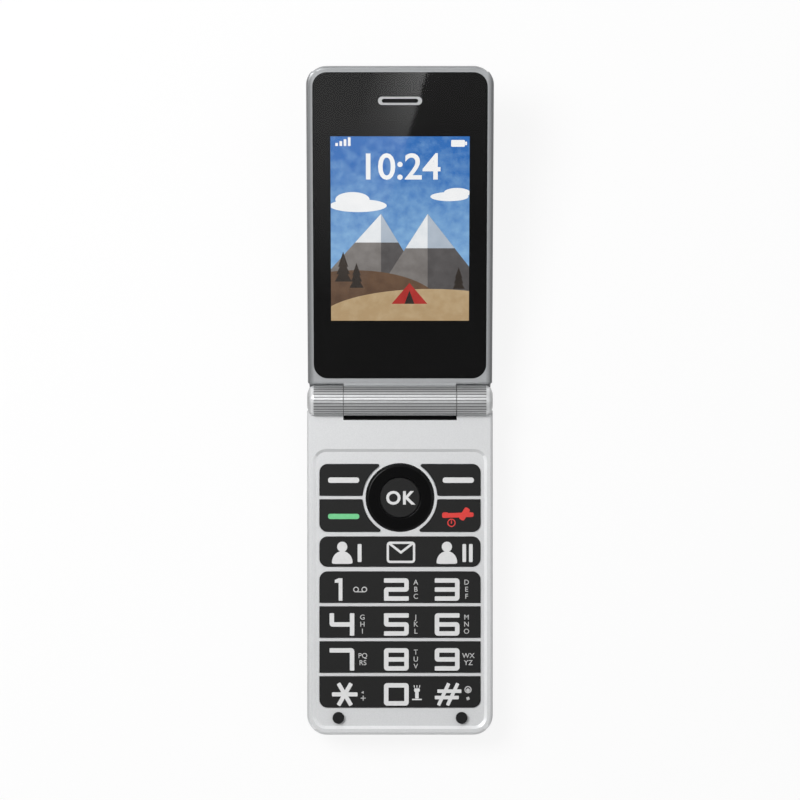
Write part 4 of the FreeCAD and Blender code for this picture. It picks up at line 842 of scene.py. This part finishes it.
screenPiece(barMark(2 * screen["half"], screenTall, 0.01), "sky", 0, 0, "sky")
for index, (wide, tall, x, y) in enumerate(wallpaper["clouds"]):
    screenPiece(ellipseMark(wide, tall), "cloud_%d" % index, x, y, "cloud")
cap = wallpaper["cap"]
for index, (wide, tall, x, y, tip) in enumerate(wallpaper["mountains"]):
    screenPiece(peakMark(wide, tall, tip), "mountain_%d" % index, x, y, "rock")
    screenPiece(peakMark(wide * cap, tall * cap, tip), "snow_%d" % index, x + wide * tip * (1 - cap),
                y + tall * (1 - cap) / 2, "snow")
    lee = wide * (0.5 - tip)
    screenPiece(peakMark(lee, tall, -0.5), "lee_%d" % index, x + wide * (tip + 0.5) / 2, y, "shade")
    screenPiece(peakMark(lee * cap, tall * cap, -0.5), "lee_snow_%d" % index,
                x + wide * tip + lee * cap / 2, y + tall * (1 - cap) / 2, "snowShade")
screenPiece(ellipseMark(46, 20), "hill", -12, -21, "hill")
screenPiece(ellipseMark(60, 18), "meadow", 8, -25, "meadow")
for index, (x, y, tall) in enumerate(wallpaper["pines"]):
    for tier in range(wallpaper["tiers"]):
        screenPiece(peakMark(tall * (0.5 - 0.1 * tier), tall * 0.45), "pine_%d_%d" % (index, tier),
                    x, y + tall * 0.22 * tier, "pine")
screenPiece(peakMark(9.5, 5.6), "tent", 2.5, -17.2, "tent")
screenPiece(peakMark(2.6, 3.6), "tent_door", 2.5, -18.2, "pine")
screenPiece(textMark("10:24", 7.0, 0.12), "clock", 0, 16.2, "cloud")
steps = [shifted(barMark(0.7, 0.8 + 0.5 * i, 0.1), i * 1.1, 0.25 * i) for i in range(4)]
screenPiece(joinAs(steps, "signal_bars"), "signal_bars", -16.6, 22.4, "cloud")
cell = joinAs([barMark(3.6, 1.8, 0.3), shifted(barMark(0.5, 0.9, 0.1), 2.1, 0)], "cell")
screenPiece(cell, "battery_level", 15.2, 22.7, "cloud")
lit = joinAs(screenLayers, "screen_picture")
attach(lit, "lid")
print("screen lit")

# floor, sky and lamps
floorSize = {"span": 6.0, "drop": 0.05}
floorPaper = {"grain": 40.0, "dark": "#f2f2f2", "pale": "#f5f5f5", "white": 0.88}
bpy.ops.object.select_all(action="DESELECT")
bpy.ops.mesh.primitive_plane_add(size=floorSize["span"], location=(0, hinge.y, -floorSize["drop"] * mm))
floor = bpy.context.object
floor.name = "floor"
paper = bpy.data.materials.new("white paper sweep")
paper.use_nodes = True
tree = paper.node_tree
tree.nodes.clear()
grain = addNode(tree, "ShaderNodeTexNoise", {"Scale": floorPaper["grain"]})
tone = addNode(tree, "ShaderNodeValToRGB", {}, {"Fac": grain.outputs["Fac"]})
tone.color_ramp.elements[0].color = linear(floorPaper["dark"])
tone.color_ramp.elements[1].color = linear(floorPaper["pale"])
matt = addNode(tree, "ShaderNodeBsdfDiffuse", {}, {"Color": tone.outputs["Color"]})
bright = addNode(tree, "ShaderNodeEmission", {"Color": (1, 1, 1, 1), "Strength": 1.0})
path = addNode(tree, "ShaderNodeLightPath")
seen = addNode(tree, "ShaderNodeMath", {"operation": "MAXIMUM"},
               {0: path.outputs["Is Camera Ray"], 1: path.outputs["Is Glossy Ray"]})
seenToo = addNode(tree, "ShaderNodeMath", {"operation": "MAXIMUM"},
                  {0: seen.outputs[0], 1: path.outputs["Is Transmission Ray"]})
part = addNode(tree, "ShaderNodeMath", {"operation": "MULTIPLY", 1: floorPaper["white"]},
               {0: seenToo.outputs[0]})
mix = addNode(tree, "ShaderNodeMixShader", {},
              {"Fac": part.outputs[0], 1: matt.outputs["BSDF"], 2: bright.outputs["Emission"]})
addNode(tree, "ShaderNodeOutputMaterial", {}, {"Surface": mix.outputs["Shader"]})
paint(floor, paper)

# what mirrors see from the horizon, 0, to straight up, 1, and the grey that lights matt surfaces
studio = {"mirrored": ((0.0, 0.6), (0.4, 0.35), (0.8, 0.22), (0.935, 0.18), (0.955, 0.42), (0.985, 0.12),
                       (1.0, 0.05)), "fill": 0.3}
world = bpy.data.worlds.new("studio")
bpy.context.scene.world = world
world.use_nodes = True
tree = world.node_tree
tree.nodes.clear()
# eyes see white, matt surfaces an even grey, and mirrors a studio that is pale low down and dim overhead
way = addNode(tree, "ShaderNodeTexCoord")
apart = addNode(tree, "ShaderNodeSeparateXYZ", {}, {"Vector": way.outputs["Generated"]})
height = addNode(tree, "ShaderNodeValToRGB", {}, {"Fac": apart.outputs["Z"]})
for index, (at, level) in enumerate(studio["mirrored"]):
    stop = height.color_ramp.elements[index] if index < 2 else height.color_ramp.elements.new(at)
    stop.position = at
    stop.color = (level, level, level, 1)
air = addNode(tree, "ShaderNodeBackground", {"Strength": 1.0}, {"Color": height.outputs["Color"]})
fill = addNode(tree, "ShaderNodeBackground", {"Color": [studio["fill"]] * 3 + [1], "Strength": 1.0})
path = addNode(tree, "ShaderNodeLightPath")
mix = addNode(tree, "ShaderNodeMixShader", {},
              {"Fac": path.outputs["Is Diffuse Ray"], 1: air.outputs["Background"],
               2: fill.outputs["Background"]})
white = addNode(tree, "ShaderNodeBackground", {"Color": (1, 1, 1, 1), "Strength": 1.0})
seen = addNode(tree, "ShaderNodeMixShader", {},
               {"Fac": path.outputs["Is Camera Ray"], 1: mix.outputs["Shader"],
                2: white.outputs["Background"]})
addNode(tree, "ShaderNodeOutputWorld", {}, {"Surface": seen.outputs["Shader"]})

lamps = {
    "mainSoftbox": {"at": (-0.34, 0.27, 0.58), "size": (0.33, 0.33), "power": 3.45},
    "rightSoftbox": {"at": (0.8, 0.1, 0.8), "size": (0.5, 0.9), "power": 1.0},
    "overheadStrip": {"at": (0.0, 0.42, 1.1), "size": (1.2, 0.34), "power": 1.6},
}
lampAim = Vector((0, hinge.y, 0.01))
for name, lamp in lamps.items():
    bpy.ops.object.light_add(type="AREA", location=lamp["at"])
    light = bpy.context.object
    light.name = name
    light.data.shape = "RECTANGLE"
    light.data.size, light.data.size_y = lamp["size"]
    light.data.energy = lamp["power"]
    aim = lampAim - Vector(lamp["at"])
    light.rotation_euler = aim.to_track_quat("-Z", "Y").to_euler()

# white card that the window mirrors: its slanting edge crosses the lid. A glare along the edge and an even
# veil both dim towards the hinge; glare and veil say where, in shares of half the card's length
card = {"height": 1.5, "edgeFar": (20.6, -349), "edgeNear": (-47, -598), "longer": 1.3, "wide": 320,
        "fade": 40, "bright": 2.9, "glare": (0.34, 0.95), "base": 0.76, "dim": 0.2, "veil": (-0.42, 0.41)}
far, near = Vector(card["edgeFar"]), Vector(card["edgeNear"])
lean = math.atan2(near.x - far.x, far.y - near.y)
long = (far - near).length * card["longer"]
bpy.ops.object.select_all(action="DESELECT")
bpy.ops.mesh.primitive_plane_add(size=1)
sheet = bpy.context.object
sheet.name = "mirror_card"
sheet.scale = (card["wide"] * mm, long * mm, 1)
sheet.location = (-card["wide"] / 2 * mm, 0, 0)
applyPlace(sheet)
sheet.rotation_euler = (0, 0, lean)
middleEdge = (far + near) / 2
sheet.location = (middleEdge.x * mm, middleEdge.y * mm, card["height"])
cardPaper = bpy.data.materials.new("lit card")
cardPaper.use_nodes = True
tree = cardPaper.node_tree
tree.nodes.clear()
way = addNode(tree, "ShaderNodeTexCoord")
apart = addNode(tree, "ShaderNodeSeparateXYZ", {}, {"Vector": way.outputs["Object"]})
half = long / 2 * mm
across = addNode(tree, "ShaderNodeMapRange", {"From Min": -card["fade"] * mm, "From Max": 0.0},
                 {"Value": apart.outputs["X"]})
low, high = [share * half for share in card["glare"]]
along = addNode(tree, "ShaderNodeMapRange", {"From Min": low, "From Max": high, "To Max": card["bright"]},
                {"Value": apart.outputs["Y"]})
glare = addNode(tree, "ShaderNodeMath", {"operation": "MULTIPLY"},
                {0: across.outputs["Result"], 1: along.outputs["Result"]})
low, high = [share * half for share in card["veil"]]
veil = addNode(tree, "ShaderNodeMapRange",
               {"From Min": low, "From Max": high, "To Min": card["dim"], "To Max": card["base"]},
               {"Value": apart.outputs["Y"]})
power = addNode(tree, "ShaderNodeMath", {"operation": "ADD"},
                {0: glare.outputs[0], 1: veil.outputs["Result"]})
shine = addNode(tree, "ShaderNodeEmission", {"Color": (1, 1, 1, 1)}, {"Strength": power.outputs[0]})
addNode(tree, "ShaderNodeOutputMaterial", {}, {"Surface": shine.outputs["Emission"]})
paint(sheet, cardPaper)

view = {"height": 0.85, "across": 0.2128, "centreY": 0.00013, "sensor": 36, "clip": 0.01}
cameraAt = (0, hinge.y + view["centreY"], hinge.z + view["height"])
bpy.ops.object.camera_add(location=cameraAt, rotation=(0, 0, 0))
camera = bpy.context.object
camera.data.sensor_width = view["sensor"]
camera.data.lens = view["sensor"] * view["height"] / view["across"]
camera.data.clip_start = view["clip"]
bpy.context.scene.camera = camera
bpy.context.scene.view_settings.view_transform = "Standard"
print("camera and lamps set")
